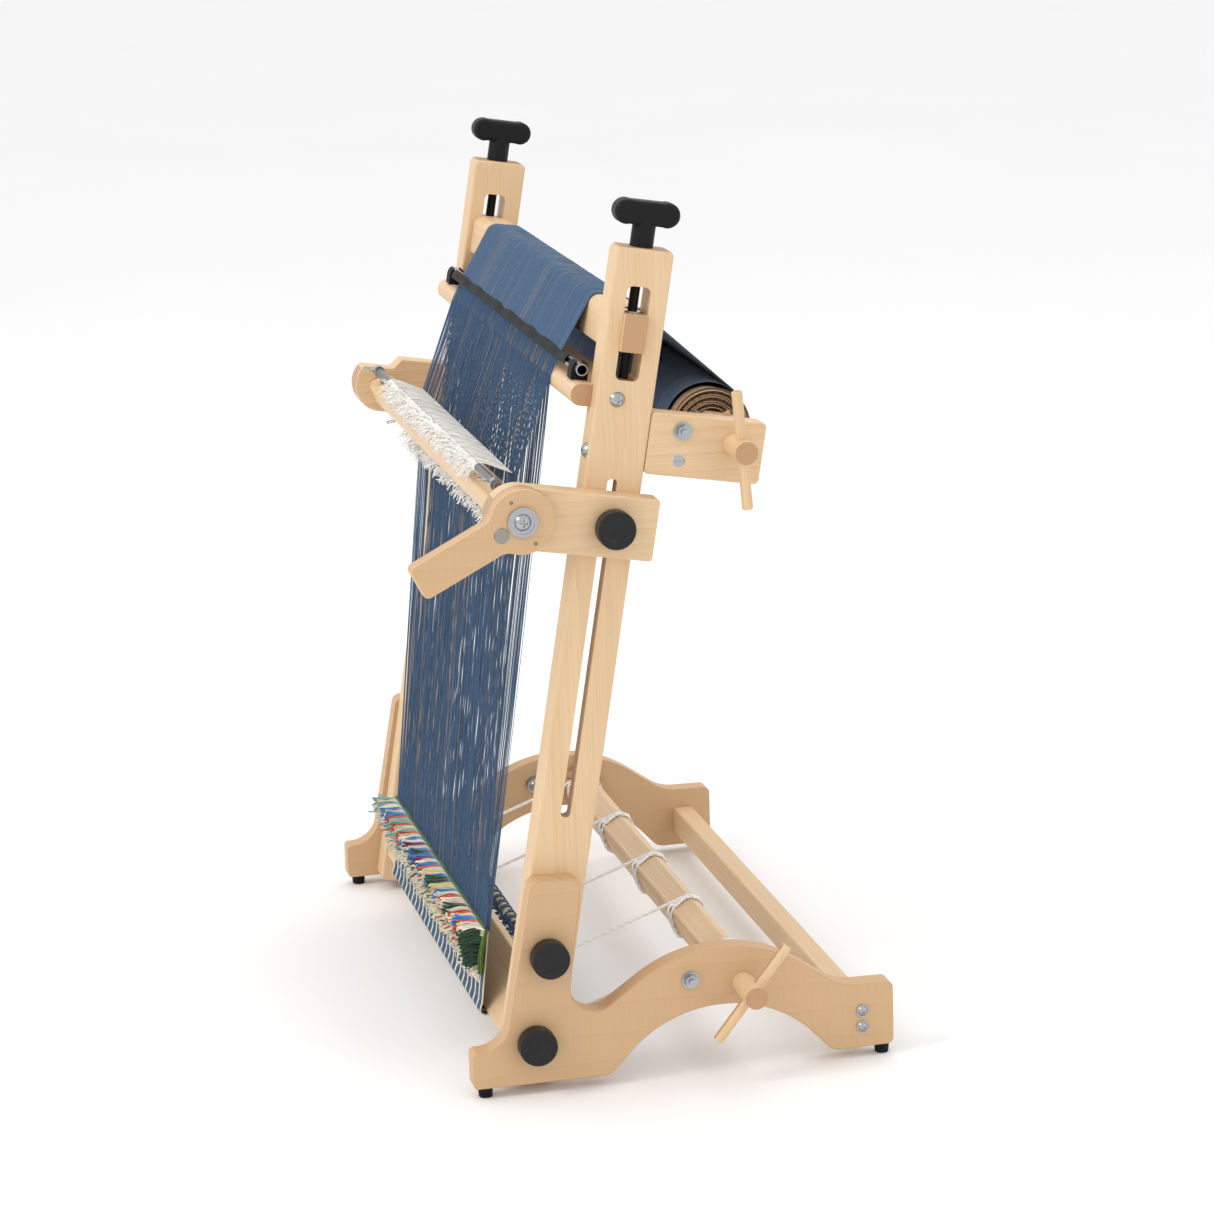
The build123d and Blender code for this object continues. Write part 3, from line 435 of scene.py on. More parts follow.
def lower_warp():
    nose = arc((RAIL_NOSE_V + 8, RAIL_TOP - 8), 8.6, 160, 190, 4)
    top = arc((TUBE_V, TUBE_U), TUBE_R + 0.6, 200, 185, 2)
    behind = np.vstack([top[::-1][:1], nose, resample([nose[-1], (-5.2, FELL_U)], 9)[1:]])
    back = warp_threads("warp_back_layer_threads", behind, LOWER_ENDS, 0.27, 1.7, depth=0.8)
    place(back, "mast", "warp_back_layer", slot="navy_yarn")
    kink = (-35.0, 490.0)
    held = np.vstack([nose[2:] + (-1.0, 0), resample([nose[-1] + (-1.0, 0), kink], 4)[1:],
                      resample([kink, (-8.6, FELL_U + 2)], 7)[1:]])
    forward = warp_threads("warp_front_layer_threads", held, LOWER_ENDS, 0.27, 1.7, 0.7, depth=1.2)
    place(forward, "mast", "warp_front_layer", slot="navy_yarn")


def apron_warp():
    """Warp below the weaving: it turns round the breast board and is tied to the apron rod."""
    straight = resample([(-6.4, FELL_U), (-2.6, 34.0)], 5)
    turn = arc((1.6, 28.8), 5.4, 192, 300, 6)
    tail = resample([turn[-1], (APRON_V - 2.0, APRON_U - APRON_R - 1.6)], 6)[1:]
    profile = np.vstack([straight, turn, tail])
    paths, tints = [], []
    for g in range(GROUPS):
        centre = -WARP_HALF + (g + 0.5) * BUNDLE
        for k in range(PER_GROUP):
            x = centre + (k - (PER_GROUP - 1) / 2) * BUNDLE / PER_GROUP
            close = np.r_[np.zeros(len(profile) - 5), np.linspace(0.1, 0.75, 5)]
            xs = x + (centre - x) * close + rng.normal(size=len(profile)) * 0.02
            paths.append(mast(xs, profile[:, 0], profile[:, 1]))
            cream = k < 4 or (g == GROUPS - 1 and k > 13)
            tints.append(shades(CREAM if cream else NAVY, 1, 0.12)[0])
    piece = strands("warp_round_board", paths, 0.66 * MM, YARN_WARP, tints, 4)
    place(piece, "mast", slot="navy_yarn")


def apron_knots():
    """Navy loops and knot ends round the apron rod."""
    paths, tints = [], []
    for g in range(GROUPS):
        centre = -WARP_HALF + (g + 0.5) * BUNDLE
        for k in range(4):
            x = centre + (k - 1.5) * 1.5
            loop = arc((APRON_V, APRON_U), APRON_R + 0.9, -110, 235, 18)
            wobble = rng.normal(size=18) * 0.12
            paths.append(mast(x + np.linspace(-1.2, 1.2, 18) + wobble, loop[:, 0], loop[:, 1]))
            tints.append(shades(NAVY, 1, 0.2)[0])
    loops = strands("apron_loops", paths, 0.75 * MM, YARN_WARP, tints, 5)
    place(loops, "mast", slot="navy_yarn")
    tails, tail_tints = [], []
    for g in range(GROUPS):
        centre = -WARP_HALF + (g + 0.5) * BUNDLE
        for k in range(9):
            start = np.array([centre + rng.normal() * 2.0, APRON_V - 5.5, APRON_U + 1.0])
            aim = np.array([rng.normal() * 5, -6 + rng.normal() * 2.5, 5 + rng.normal() * 4.5])
            t = np.linspace(0, 1, 7)[:, None]
            bend = np.array([rng.normal() * 2, 0, -2 + rng.normal()])
            pts = start + aim * t + bend * np.sin(pi * t)
            tails.append(mast(pts[:, 0], pts[:, 1], pts[:, 2]))
            tail_tints.append(shades(NAVY, 1, 0.2)[0])
    piece = strands("apron_knot_ends", tails, 0.5 * MM, YARN_WARP, tail_tints, 5)
    place(piece, "mast", slot="navy_yarn")


# ---------------------------------------------------------------- weaving

MINT = (0.30, 0.48, 0.40)
BLUE = (0.05, 0.26, 0.58)
ORANGE = (0.62, 0.12, 0.03)
PURPLE = (0.20, 0.02, 0.16)
BOTTLE = (0.03, 0.10, 0.05)
LEAF = (0.10, 0.21, 0.02)
STRAW = (0.72, 0.63, 0.34)
WEFTS = [MINT, CREAM, MINT, CREAM, BLUE, CREAM, BLUE, ORANGE, MINT, MINT, ORANGE, CREAM, MINT, ORANGE,
         CREAM, BLUE, CREAM, PURPLE, CREAM, BLUE, BOTTLE, BLUE, PURPLE, CREAM, BLUE, ORANGE, CREAM, STRAW,
         BLUE, BOTTLE, BOTTLE, STRAW, STRAW, BLUE, CREAM, ORANGE, CREAM, CREAM, BOTTLE, CREAM, ORANGE,
         CREAM, BLUE, ORANGE, CREAM, CREAM]
STRIPE = 2 * WARP_HALF / len(WEFTS)
STRIPE_STRANDS = 6
WEAVE_TOP, WEAVE_LOW = FELL_U + 1.5, 57.0
CLOTH_V = -7.0             # front of the cloth the pile stands on
PILE_TOP = 22.0


def pile_length(below):
    """How far the pile stands forward, at a distance below the fell."""
    return min(PILE_TOP, 29.0 - 0.66 * below)


def woven_ground():
    """The thin cloth behind the tufts, ribbed by its warp."""
    columns, rows = 180, 14
    x = np.linspace(-WARP_HALF - 1, WARP_HALF + 1, columns)
    u = np.linspace(WEAVE_LOW, WEAVE_TOP, rows)
    ribs = 0.25 * np.sin(np.arange(columns) * 2.1)[None, :] * np.ones((rows, 1))
    v = -7.4 - 0.9 * (u[:, None] - WEAVE_LOW) / (WEAVE_TOP - WEAVE_LOW) + ribs
    points = mast(np.broadcast_to(x, (rows, columns)), v, np.broadcast_to(u[:, None], (rows, columns)))
    tints = np.repeat(shades(CREAM, columns, 0.05)[None], rows, axis=0).reshape(-1, 3)
    piece = ribbon("woven_ground", points, YARN_SOFT, tints)
    place(piece, "mast", "tapestry", slot="woven_band")
    return piece


def weft_tufts():
    """Coloured wool laid along the fell and turned forward, stripe by stripe."""
    paths, tints = [], []
    for i, colour in enumerate(WEFTS):
        for layer in range(3):
            for k in range(STRIPE_STRANDS):
                x0 = -WARP_HALF + i * STRIPE + (k + 0.5) * STRIPE / STRIPE_STRANDS + rng.normal() * 0.2
                drop = 2.4 * layer
                lie = 19.0 - 3 * layer
                end = pile_length(drop) + rng.normal() * 1.6
                knots = np.array([(x0 + lie, 1.6, -0.8), (x0 + 0.3 * lie, 4.4, 0.6), (x0, 6.2, 1.0),
                                  (x0 - 0.8 + rng.normal() * 0.6, 0.62 * end, -0.2 + rng.normal() * 0.5),
                                  (x0 - 2 + rng.normal() * 1.4, end, -2.6 + rng.normal() * 1.4)])
                pts = resample(knots, 11)
                x = np.clip(pts[:, 0], -WARP_HALF - 6, WARP_HALF + 2)
                paths.append(mast(x, CLOTH_V - pts[:, 1], WEAVE_TOP - drop + pts[:, 2]))
                tints.append(shades(colour, 1, 0.13)[0])
    return strands("weft_pile", paths, 0.95 * MM, YARN_SOFT, tints, 6)


def lower_pile():
    """Shorter tufts below, mostly cream, ragged towards the bottom edge."""
    paths, tints = [], []
    t = np.linspace(0, 1, 7)[:, None]
    depth = WEAVE_TOP - WEAVE_LOW
    for row in np.linspace(7.0, depth - 1, 9):
        for i in range(190):
            x0 = -WARP_HALF + (i + rng.random()) * 2 * (WARP_HALF - 8) / 190
            reach = pile_length(row) * (0.9 + 0.16 * rng.normal())
            start = np.array([x0, CLOTH_V - 0.5, WEAVE_TOP - row])
            aim = np.array([-2.0 + rng.normal() * 2.2, -reach, -3.0 + rng.normal() * 1.6])
            curl = np.array([rng.normal() * 1.8, 0, 1.5 + rng.normal() * 1.3])
            pts = start + aim * t + curl * np.sin(pi * t)
            paths.append(mast(pts[:, 0], pts[:, 1], pts[:, 2]))
            nearby = WEFTS[int(np.clip((x0 + WARP_HALF) / (2 * WARP_HALF) * len(WEFTS), 0,
                                       len(WEFTS) - 1))]
            coloured = rng.random() < 0.9 * max(0.0, 1 - row / 30)
            tints.append(shades(nearby if coloured else CREAM, 1, 0.10)[0])
    return strands("lower_pile", paths, 0.68 * MM, YARN_SOFT, tints, 5)


def ragged_edge():
    """Loose cream ends along the lower edge, and mint ones out of the far end."""
    paths, tints = [], []
    t = np.linspace(0, 1, 8)[:, None]
    for i in range(420):
        x0 = rng.uniform(-WARP_HALF - 2, WARP_HALF - 14)
        start = np.array([x0, CLOTH_V - 2 + rng.normal(), WEAVE_LOW + 4 + rng.normal() * 3])
        aim = np.array([rng.normal() * 3.5 - 1.5, -2 + rng.normal() * 1.6, -5 + rng.normal() * 2.4])
        curl = np.array([rng.normal() * 2.4, rng.normal() * 1.0, rng.normal() * 1.6])
        pts = start + aim * t + curl * np.sin(pi * 1.4 * t)
        paths.append(mast(pts[:, 0], pts[:, 1], pts[:, 2]))
        tints.append(shades(CREAM, 1, 0.08)[0])
    for i in range(220):
        below = rng.uniform(2, 38)
        reach = pile_length(below)
        start = np.array([-WARP_HALF + 3 + rng.normal() * 2, CLOTH_V - 1, WEAVE_TOP - below])
        aim = np.array([-6 + rng.normal() * 2.4, -reach * rng.uniform(0.4, 1.0), -2 + rng.normal() * 3])
        pts = start + aim * t + np.array([0, rng.normal() * 1.5, rng.normal() * 2.0]) * np.sin(pi * t)
        paths.append(mast(pts[:, 0], pts[:, 1], pts[:, 2]))
        tints.append(shades(MINT if i % 3 else (CREAM if i % 2 else BOTTLE), 1, 0.12)[0])
    return strands("ragged_edge", paths, 0.55 * MM, YARN_SOFT, tints, 5)


def fell_braid():
    """The leaf-green cord of twisted wool along the fell."""
    x = np.linspace(-WARP_HALF - 1, WARP_HALF + 1, 420)
    along = mast(x, CLOTH_V - 2.6 + 0.4 * np.sin(x / 9), WEAVE_TOP + 0.9 + 0.5 * np.sin(x / 13))
    plies = twisted(along, 0.80 * MM, 5 * MM, 3)
    return strands("fell_braid", plies, 0.78 * MM, YARN_SOFT, shades(LEAF, 3, 0.2), 6)


def near_end():
    """Dark green pile, a leaf-green selvedge cord and a cream end at the near edge."""
    paths, tints = [], []
    t = np.linspace(0, 1, 12)[:, None]
    for i in range(420):
        below = rng.uniform(1.5, 31)
        reach = 22 - 10 * below / 31 + rng.normal() * 1.5
        start = np.array([WARP_HALF + 1 - rng.random() * 13, CLOTH_V - 0.5, WEAVE_TOP - below])
        aim = np.array([rng.normal() * 1.2, -reach, -3 + rng.normal() * 1.8])
        curl = np.array([rng.normal() * 1.0, 0, 1.5 + rng.normal() * 1.2])
        pts = start + aim * t + curl * np.sin(pi * t)
        paths.append(mast(pts[:, 0], pts[:, 1], pts[:, 2]))
        tints.append(shades(BOTTLE, 1, 0.25)[0])
    for i in range(16):
        start = np.array([WARP_HALF + 1.5 + rng.normal() * 0.6, CLOTH_V - 1.5 + rng.normal() * 0.6,
                          WEAVE_TOP + 0.5])
        aim = np.array([1.0 + rng.normal() * 0.5, -0.5 + rng.normal() * 0.8, -37 + rng.normal() * 2.5])
        pts = start + aim * t + np.array([1.0, -2.0, 0]) * np.sin(pi * t) * (1 + rng.normal() * 0.3)
        paths.append(mast(pts[:, 0], pts[:, 1], pts[:, 2]))
        tints.append(shades(LEAF, 1, 0.2)[0])
    for i in range(20):
        start = np.array([WARP_HALF + 1.5 + rng.normal() * 0.8, CLOTH_V - 3, WEAVE_TOP - 35])
        aim = np.array([1 + rng.normal() * 1.2, -4 + rng.normal(), -8 + rng.normal() * 1.5])
        pts = start + aim * t + np.array([-2, -3, -1]) * np.sin(pi * 1.5 * t)
        paths.append(mast(pts[:, 0], pts[:, 1], pts[:, 2]))
        tints.append(shades(CREAM, 1, 0.06)[0])
    return strands("near_end_pile", paths, 0.70 * MM, YARN_SOFT, tints, 5)


def weaving():
    ground = woven_ground()
    extras = [weft_tufts(), lower_pile(), ragged_edge(), fell_braid(), near_end()]
    for piece in extras:
        place(piece, "mast", slot="woven_band")


# ---------------------------------------------------------------- clamp hose and roll

HOSE_IN, HOSE_OUT, HOSE_ANGLES = 6.3, 7.3, (118, 190)


def clamp_hose():
    """Slit rubber hose over the warp on the tube, pushed out of line by the threads."""
    stations = 150
    x = np.linspace(-238, 236, stations)
    wave = 0.7 * np.sin(x / 11.5) + 0.45 * np.sin(x / 7.3 + 1.0)
    rows = []
    for base, ends in ((HOSE_OUT, HOSE_ANGLES), (HOSE_IN, HOSE_ANGLES[::-1])):
        for angle in np.radians(np.linspace(*ends, 11)):
            radius = base + 0.30 * wave
            v = TUBE_V - 0.3 + radius * cos(angle)
            u = TUBE_U + wave * 0.35 + radius * sin(angle)
            rows.append(mast(x, v, u))
    rows.append(rows[0])
    piece = ribbon("warp_clamp_hose", rows, RUBBER)
    place(piece, "mast", "warp_clamp", slot="black_rubber")


def turned(profile, axis_v, axis_u, segments, name, material, tints=None):
    """A body of revolution about the warp beam's axis; profile is (x, radius)."""
    angles = np.linspace(0, 2 * pi, segments + 1)
    x = np.array([p[0] for p in profile])[:, None]
    r = np.array([p[1] for p in profile])[:, None]
    points = mast(x + 0 * angles, axis_v + r * np.cos(angles), axis_u + r * np.sin(angles))
    colours = None if tints is None else np.repeat(np.asarray(tints)[:, None], segments + 1, 1).reshape(-1, 3)
    return ribbon(name, points, material, colours)


def warp_roll():
    """Wound warp, one ridge for each pair of ends, on rolls of corrugated card."""
    ridges = 320
    profile, tints = [], []
    # A lighter navy and tan than the warp yarn elsewhere: painted light, lifting the roll out of the shade it
    # sits in.
    colours = shades((0.085, 0.190, 0.350), ridges, 0.10)
    colours[rng.random(ridges) < 0.06] = (0.40, 0.27, 0.17)
    for i in range(ridges):
        x = -207 + 414 * i / ridges
        swell = 0.35 * sin(x / 17) + 0.2 * sin(x / 6.1)
        profile += [(x, ROLL_R - 0.5 + swell), (x + 0.65, ROLL_R + swell)]
        # The groove point of each ridge gets 0.55 of its colour: painted shade between the ridges.
        tints += [colours[i] * 0.55, colours[i]]
    roll = turned(profile, WARP_V, WARP_U, 96, "wound_warp", YARN_WARP, tints)
    place(roll, "warp_winder", "warp_roll", slot="navy_yarn")
    for side in (1, -1):
        card_end(side)


def card_end(side):
    """Spiral of corrugated card standing out of the wound warp at one end, with painted shade on its fluting
    and a dark disc of painted shade behind it.
    """
    turns, first, last = 2.9, 18.0, 33.6
    steps = 900
    angle = np.linspace(0, 2 * pi * turns, steps)
    radius = first + (last - first) * angle / angle[-1]
    flute = np.sin(2 * pi * np.cumsum(radius) * (angle[1] - angle[0]) / 6.5) * 1.45
    out = np.array([200.0, 226.0]) * side
    layers = []
    for shift in (-1.8 + 0 * flute, 1.8 + 0 * flute, flute):
        r = radius + shift
        layers.append((r, angle))
    for k, (r, a) in enumerate(layers):
        v = WARP_V + r * np.cos(a)
        u = WARP_U + r * np.sin(a)
        reach = out - side * (0.6 if k == 2 else 0.0)
        rows = [mast(np.full(steps, x), v, u) for x in reach]
        side_name = "right" if side > 0 else "left"
        part = ("liner_inside", "liner_outside", "fluting")[k]
        # The fluting (k == 2) takes the near-black card: painted shade in the flutes between the liners.
        piece = ribbon(f"card_{part}_{side_name}", rows, CARD_SHADE_PAINTED if k == 2 else CARD)
        thick = piece.modifiers.new("thickness", "SOLIDIFY")
        thick.thickness = 0.45 * MM
        place(piece, "warp_winder", slot="navy_yarn")
    # A dark disc across the end of the roll, inside the spiral: painted shade seen in the gaps between the
    # turns of card.
    core = turned([(side * 222.5, 16.5), (side * 222.5, 34.0)], WARP_V, WARP_U, 64,
                  f"roll_shadow_{'r' if side > 0 else 'l'}", CARD_SHADE_PAINTED)
    place(core, "warp_winder", slot="navy_yarn")


# ---------------------------------------------------------------- cords and leashes

CORD_X = (-272.0, -140.0, -8.0, 124.0, 256.0)
CORD_R = 1.6
CLOTH = Vector(joints["cloth_beam_turn"]["pos_m"])


def apron_cords():
    """Twisted cords from the apron rod up to the ridge of the cloth beam."""
    plies = []
    for x in CORD_X:
        rod = mast(x, APRON_V, APRON_U)
        ridge = np.array([rod[0], CLOTH.y + 2.0 * MM, CLOTH.z + 17.9 * MM])
        aim = (ridge - rod) / np.linalg.norm(ridge - rod)
        normal = np.array([0, -aim[2], aim[1]])
        loop = [rod - normal * 6.2 * MM * cos(a) - aim * 6.2 * MM * sin(a) for a in np.linspace(pi, 0, 9)]
        loop = loop[:-1] + [rod + aim * 9 * MM - normal * 1.0 * MM]
        path = resample(np.vstack([loop, [ridge]]), 120)
        plies += twisted(path, 0.82 * MM, 8 * MM, 3)
    piece = strands("apron_cord_runs", plies, 0.80 * MM, YARN_CORD, shades(WHITE, len(plies), 0.04), 7)
    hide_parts("apron_cords")
    rod = mast(0, APRON_V, APRON_U)
    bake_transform(piece)


def octagon(half, corner):
    """Outline of a chamfered square, as points round it."""
    c = half - corner
    return [(half, -c), (half, c), (c, half), (-c, half), (-half, c), (-half, -c), (-c, -half), (c, -half)]


def cord_wraps():
    """Cord laid round the cloth beam and tied at the retaining dowel, one for each apron cord."""
    turn = radians(22)
    plies = []
    base = octagon(14 + CORD_R, 6.4)
    ring = np.array(base + base[:1])
    ring = resample(ring, 60)
    y = ring[:, 0] * cos(turn) - ring[:, 1] * sin(turn)
    z = ring[:, 0] * sin(turn) + ring[:, 1] * cos(turn)
    for i, cx in enumerate(CORD_X):
        step = 3.4 if i < 4 else -3.4
        for k in range(2):
            x = cx + step * k + np.linspace(0, step, 60)
            path = np.stack([PIVOT.x + MM * x, CLOTH.y + MM * y, CLOTH.z + MM * z], axis=1)
            plies += twisted(path, 0.80 * MM, 8 * MM, 3)
        spread = 22 * (1 if i < 4 else -1)
        slope = np.linspace(0, 1, 60)
        x = cx + spread * np.sin(pi * np.clip((slope - 0.25) * 1.6, 0, 1)) * 0.7
        path = np.stack([PIVOT.x + MM * x, CLOTH.y + MM * y * 1.02, CLOTH.z + MM * z * 1.02], axis=1)
        plies += twisted(path, 0.80 * MM, 8 * MM, 3)
    piece = strands("cord_wraps", plies, 0.78 * MM, YARN_CORD, shades(WHITE, len(plies), 0.04), 7)
    place(piece, "cloth_winder", "cord_loops", slot="cord")
    knots = []
    ky, kz = 15.7 * cos(radians(150)), 15.7 * sin(radians(150))
    for i, cx in enumerate(CORD_X):
        for k in range(3):
            a = np.linspace(0, 2 * pi, 24)
            r = 3.9 + 0.3 * k
            x = cx + 5 * (1 if i < 4 else -1) + 1.5 * k + 0.6 * np.sin(a * 2)
            path = np.stack([PIVOT.x + MM * x, CLOTH.y + MM * (ky + r * np.cos(a)),
                             CLOTH.z + MM * (kz + r * np.sin(a))], 1)
            knots.append(path)
    piece = strands("cord_knots", knots, 1.25 * MM, YARN_CORD, shades(WHITE, len(knots), 0.05), 7)
    place(piece, "cloth_winder", slot="cord")


ROD_R = 3.3
HEDDLE_RODS = ((-66.4, 493.5), (-40.6, 452.5))
LEASH_HALF = 198
HAIRPIN_X = 260


def leash_sheets():
    """Cotton loops from the two rods back to the warp's front layer."""
    (upper_v, upper_u), (lower_v, lower_u) = HEDDLE_RODS
    upper = [(upper_v - 3.9, upper_u), (upper_v - 1, upper_u + 3.9), (upper_v + 6, upper_u + 3.6),
             (-36.4, 491.0)]
    lower = [(lower_v - 3.9, lower_u), (lower_v - 0.5, lower_u - 3.9), (-37.2, 450.0),
             (-34.2, 456.5)]
    for name, profile in (("leashes_upper", upper), ("leashes_lower", lower)):
        xs = np.linspace(-LEASH_HALF, LEASH_HALF, 165)
        line = resample(profile, 10)
        jitter = rng.normal(size=(len(xs), 10)) * 0.25
        x = xs[:, None] + jitter + np.linspace(0, 1, 10)[None] * rng.normal(size=(len(xs), 1)) * 1.4
        lift = np.abs(rng.normal(size=(len(xs), 1))) * 0.4
        away = 1 if name == "leashes_upper" else -1
        paths = mast(x, line[None, :, 0] - lift, line[None, :, 1] + away * lift)
        piece = strands(name, paths, 0.42 * MM, YARN_CORD, shades(WHITE, len(xs), 0.06), 4)
        if name == "leashes_upper":
            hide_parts("leashes")
        tuple(mast(0, *line[2]))
        tuple(mast(0, *line[-1]))
        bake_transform(piece)


def fringe(name, rod, count, reach, outward, droop):
    """Short cut ends of the leash knots standing off one rod."""
    paths, tints = [], []
    t = np.linspace(0, 1, 9)
    for i in range(count):
        x0 = rng.uniform(-LEASH_HALF, LEASH_HALF - 8)
        clump = 3.0 * sin(x0 / 5.0) + 2.0 * sin(x0 / 2.3)
        a = radians(outward + rng.normal() * 38)
        length = reach * (0.55 + 0.5 * rng.random())
        start = np.array(rod) + (ROD_R + 0.4) * np.array([cos(a), sin(a)])
        v = start[0] + length * t * cos(a) + rng.normal() * 1.2 * np.sin(pi * t)
        u = start[1] + length * t * sin(a) - droop * length * t ** 2 + rng.normal() * np.sin(2 * pi * t)
        x = x0 + (rng.normal() * 5 + clump) * t + rng.normal() * 1.5 * np.sin(pi * t)
        paths.append(mast(x, v, u))
        tints.append(shades(WHITE, 1, 0.05)[0])
    thin = np.linspace(0.72, 0.42, 9)[None, :] * MM
    piece = strands(name, paths, thin, YARN_CORD, tints, 5)
    return place(piece, "shed_turner", slot="cord")


def leash_knots():
    """Small half-hitches that hold the leashes on both rods."""
    paths = []
    for rod in HEDDLE_RODS:
        for x in np.arange(-LEASH_HALF, LEASH_HALF + 1, 3.1):
            ring = arc(rod, ROD_R + 0.55, 0, 360, 14)
            along = x + rng.normal() * 0.3 + np.linspace(-0.7, 0.7, 14)
            paths.append(mast(along, ring[:, 0], ring[:, 1]))
    piece = strands("leash_knots", paths, 0.72 * MM, YARN_CORD, shades(WHITE, len(paths), 0.05), 5)
    place(piece, "shed_turner", slot="cord")


def hairpins():
    """Wire hairpins through the rods, just inside their four clips."""
    paths = []
    for rod, away in zip(HEDDLE_RODS, (radians(172), radians(205))):
        out = np.array([cos(away), sin(away)])
        for x in (-HAIRPIN_X, HAIRPIN_X):
            turn = 4.2 if x > 0 else -4.2
            loop = [(turn * sin(a), 10 - 4.2 * cos(a)) for a in np.linspace(0.5, 2 * pi - 0.5, 20)]
            line = np.vstack([[(0.6, -2.0)], [(0.6, 5.4)], loop, [(-0.6, 5.4)], [(-0.6, -2.0)]])
            line = resample(line, 40)
            v = rod[0] + out[0] * line[:, 1]
            u = rod[1] + out[1] * line[:, 1]
            paths.append(mast(x + line[:, 0], v, u))
    piece = strands("hairpins", paths, 0.55 * MM, ZINC, np.ones((len(paths), 3)), 8)
    place(piece, "shed_turner", slot="zinc")


def handle_brads():
    """Two small brads in the handle's disc."""
    x = (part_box("shed_handle")[1][0] - PIVOT.x) / MM
    rings = []
    for v, u in ((-66.9, 491.3), (-42.4, 460.1)):
        line = arc((v, u), 1.1, 0, 360, 14)
        rings.append(mast(x + 0.12, line[:, 0], line[:, 1]))
    piece = strands("handle_brads", rings, 0.35 * MM, ZINC_DARK, np.ones((2, 3)), 6)
    place(piece, "shed_turner", slot="zinc")


# ---------------------------------------------------------------- stage

CAMERA_AT = (3.4354, -0.7517, 1.2044)
CAMERA_TURN, CAMERA_PITCH, CAMERA_ROLL = 77.142, 13.876, -1.908
FLOOR_REACH = 30


def camera():
    """From the weaver's right, a little in front and above."""
    data = bpy.data.cameras.new("camera")
    data.lens = 121.1
    data.sensor_width = 36.0
    data.clip_end = 100
    turn, pitch, roll = radians(CAMERA_TURN), radians(CAMERA_PITCH), radians(CAMERA_ROLL)
    back = Vector((sin(turn) * cos(pitch), -cos(turn) * cos(pitch), sin(pitch)))
    right = (-back).cross(Vector((0, 0, 1))).normalized()
    up = right.cross(-back)
    right, up = right * cos(roll) + up * sin(roll), up * cos(roll) - right * sin(roll)
    holder = bpy.data.objects.new("camera", data)
    turned_to = Matrix((right, up, back)).transposed().to_4x4()
    holder.matrix_world = Matrix.Translation(CAMERA_AT) @ turned_to
    bpy.context.scene.collection.objects.link(holder)
    bpy.context.scene.camera = holder


def area_light(name, place_at, target, size, power, colour):
    data = bpy.data.lights.new(name, "AREA")
    data.shape = "DISK"
    data.size = size
    data.energy = power
    data.color = colour
    lamp = bpy.data.objects.new(name, data)
    lamp.location = place_at
    lamp.rotation_euler = (Vector(target) - Vector(place_at)).to_track_quat("-Z", "Y").to_euler()
    bpy.context.scene.collection.objects.link(lamp)


def studio():
    world = bpy.data.worlds.new("studio")
    bpy.context.scene.world = world
    world.use_nodes = True
    background = world.node_tree.nodes["Background"]
    background.inputs[0].default_value = (1.0, 1.0, 1.0, 1)
    background.inputs[1].default_value = 1.0
    middle = (0, 0, 0.35)
    area_light("key", (0.9, -2.6, 2.6), middle, 1.4, 34, (1.0, 0.98, 0.95))
    area_light("fill", (3.2, 1.8, 1.6), middle, 2.0, 8, (0.96, 0.98, 1.0))
    area_light("top", (-0.8, 0.5, 3.2), middle, 1.8, 16, (1.0, 1.0, 1.0))
    bpy.context.scene.view_settings.view_transform = "Standard"
    s = Shader("floor")
    s.finish(s.mix(s.noise(s.coords(), 2.0, 2), (0.90, 0.90, 0.90), (0.93, 0.93, 0.93)), 0.9)
    far = FLOOR_REACH
    corners = [(-far, -far, 0), (far, -far, 0), (far, far, 0), (-far, far, 0)]
    floor = mesh_object("floor", corners, [(0, 1, 2, 3)], s.material)


# ---------------------------------------------------------------- assembly

YARN_WARP = yarn("warp_yarn", 0.35, 0.25, 0.7)
YARN_SOFT = yarn("wool", 0.4, 0.5, 0.9)
YARN_CORD = yarn("cotton_cord", 0.22, 0.3, 0.85)
RUBBER = rubber("rubber")
ZINC = metal("zinc", (0.46, 0.47, 0.49), 0.24)
ZINC_DARK = metal("dark_zinc", (0.16, 0.15, 0.14), 0.4)
CARD = card("kraft_card", (0.60, 0.42, 0.27), (0.50, 0.33, 0.20))
# Near-black card used as painted shade: the fluting and the disc behind the card spirals.
CARD_SHADE_PAINTED = card("card_shadow", (0.16, 0.10, 0.06), (0.10, 0.06, 0.035))


def dress(material, *names):
    for name in names:
        node = nodes[name]
        node.data.materials.clear()
        node.data.materials.append(material)


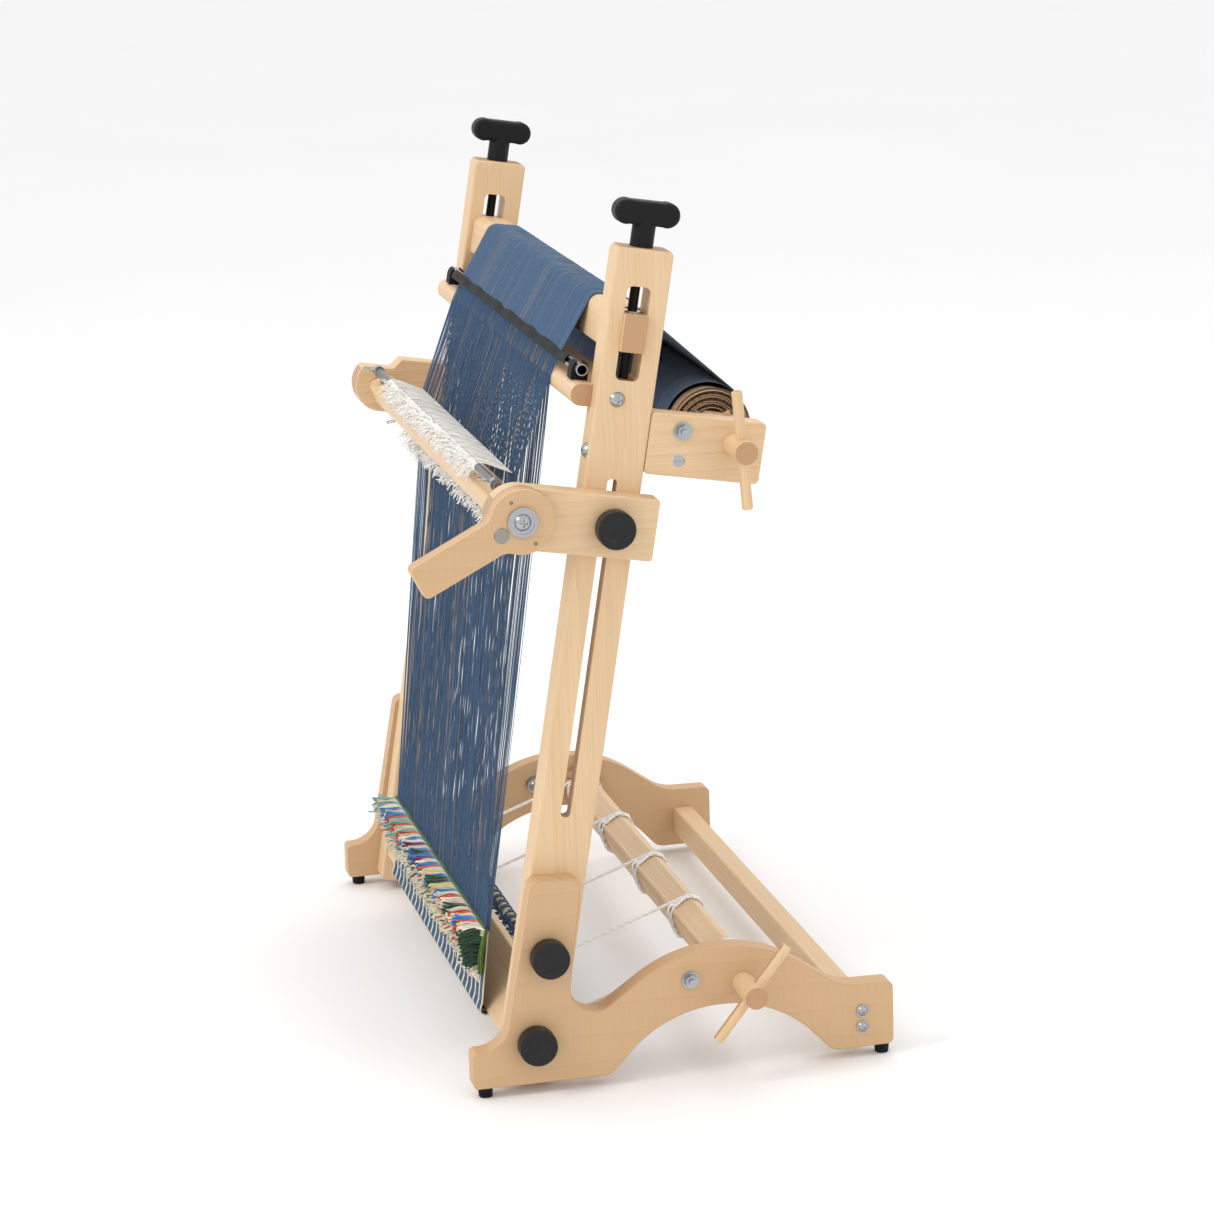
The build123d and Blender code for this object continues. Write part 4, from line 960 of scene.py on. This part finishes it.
def pair(name):
    return name + "_right", name + "_left"


def carried_over():
    """Materials for the CAD nodes that show as they are."""
    along_x = wood("maple_along_x", "X")
    dress(plywood("birch_ply"), *pair("side_plate"), "cloth_ratchets")
    dress(plywood("birch_ply_leaning", LEAN), "shed_handle", "warp_ratchets")
    dress(wood("maple_post", "Z", LEAN), *pair("post"))
    dress(wood("maple_bracket", "Y", LEAN), *pair("bracket"), *pair("shed_arm"))
    dress(along_x, "rear_stretcher", "front_rail", "breast_board", "cloth_beam", "warp_beam",
          "shed_bar", "cloth_beam_spindles", "cloth_beam_rod", "warp_beam_spindles", "apron_rod")
    dress(wood("maple_upper_beam", "X", 0.0, 0.12), "upper_beam")
    dress(wood("dowel_handles", "Z", LEAN, 0.05), "warp_beam_handle")
    dress(wood("dowel_cloth", "Z", radians(-39), 0.05), "cloth_beam_handle")
    dress(ZINC, "stretcher_screws", "pan_head_bolts", "barrel_nuts", "beam_nuts", "arm_nuts",
          "handle_screw", "thrust_disc", "cloth_pawl_bolts", "warp_pawl_bolts", *pair("cloth_pawl"),
          *pair("warp_pawl"), "rod_clips")
    dress(metal("nickel", (0.36, 0.34, 0.31), 0.30), "detent_plunger")
    dress(metal("steel_tube", (0.44, 0.44, 0.45), 0.26, (8, 700, 700)), "lease_tube")
    dress(metal("grey_rod", (0.24, 0.24, 0.26), 0.34, (8, 700, 700)), "heddle_rods")
    dress(black_plastic("knob_black", 0.16, 700), *pair("pivot_knob"), *pair("tilt_knob"),
          *pair("arm_knob"))
    dress(RUBBER, "rubber_feet", "tube_clips")
    dress(screw_and_tee("tension_screw_black", 700.3), *pair("tension_screw"))


camera()
studio()
carried_over()
over_beam_warp()
lower_warp()
apron_warp()
apron_knots()
weaving()
clamp_hose()
warp_roll()
apron_cords()
cord_wraps()
leash_sheets()
leash_knots()
fringe("fringe_upper", HEDDLE_RODS[0], 460, 12.0, 222.0, 0.15)
fringe("fringe_lower", HEDDLE_RODS[1], 330, 12.0, 208.0, 0.25)
hairpins()
handle_brads()
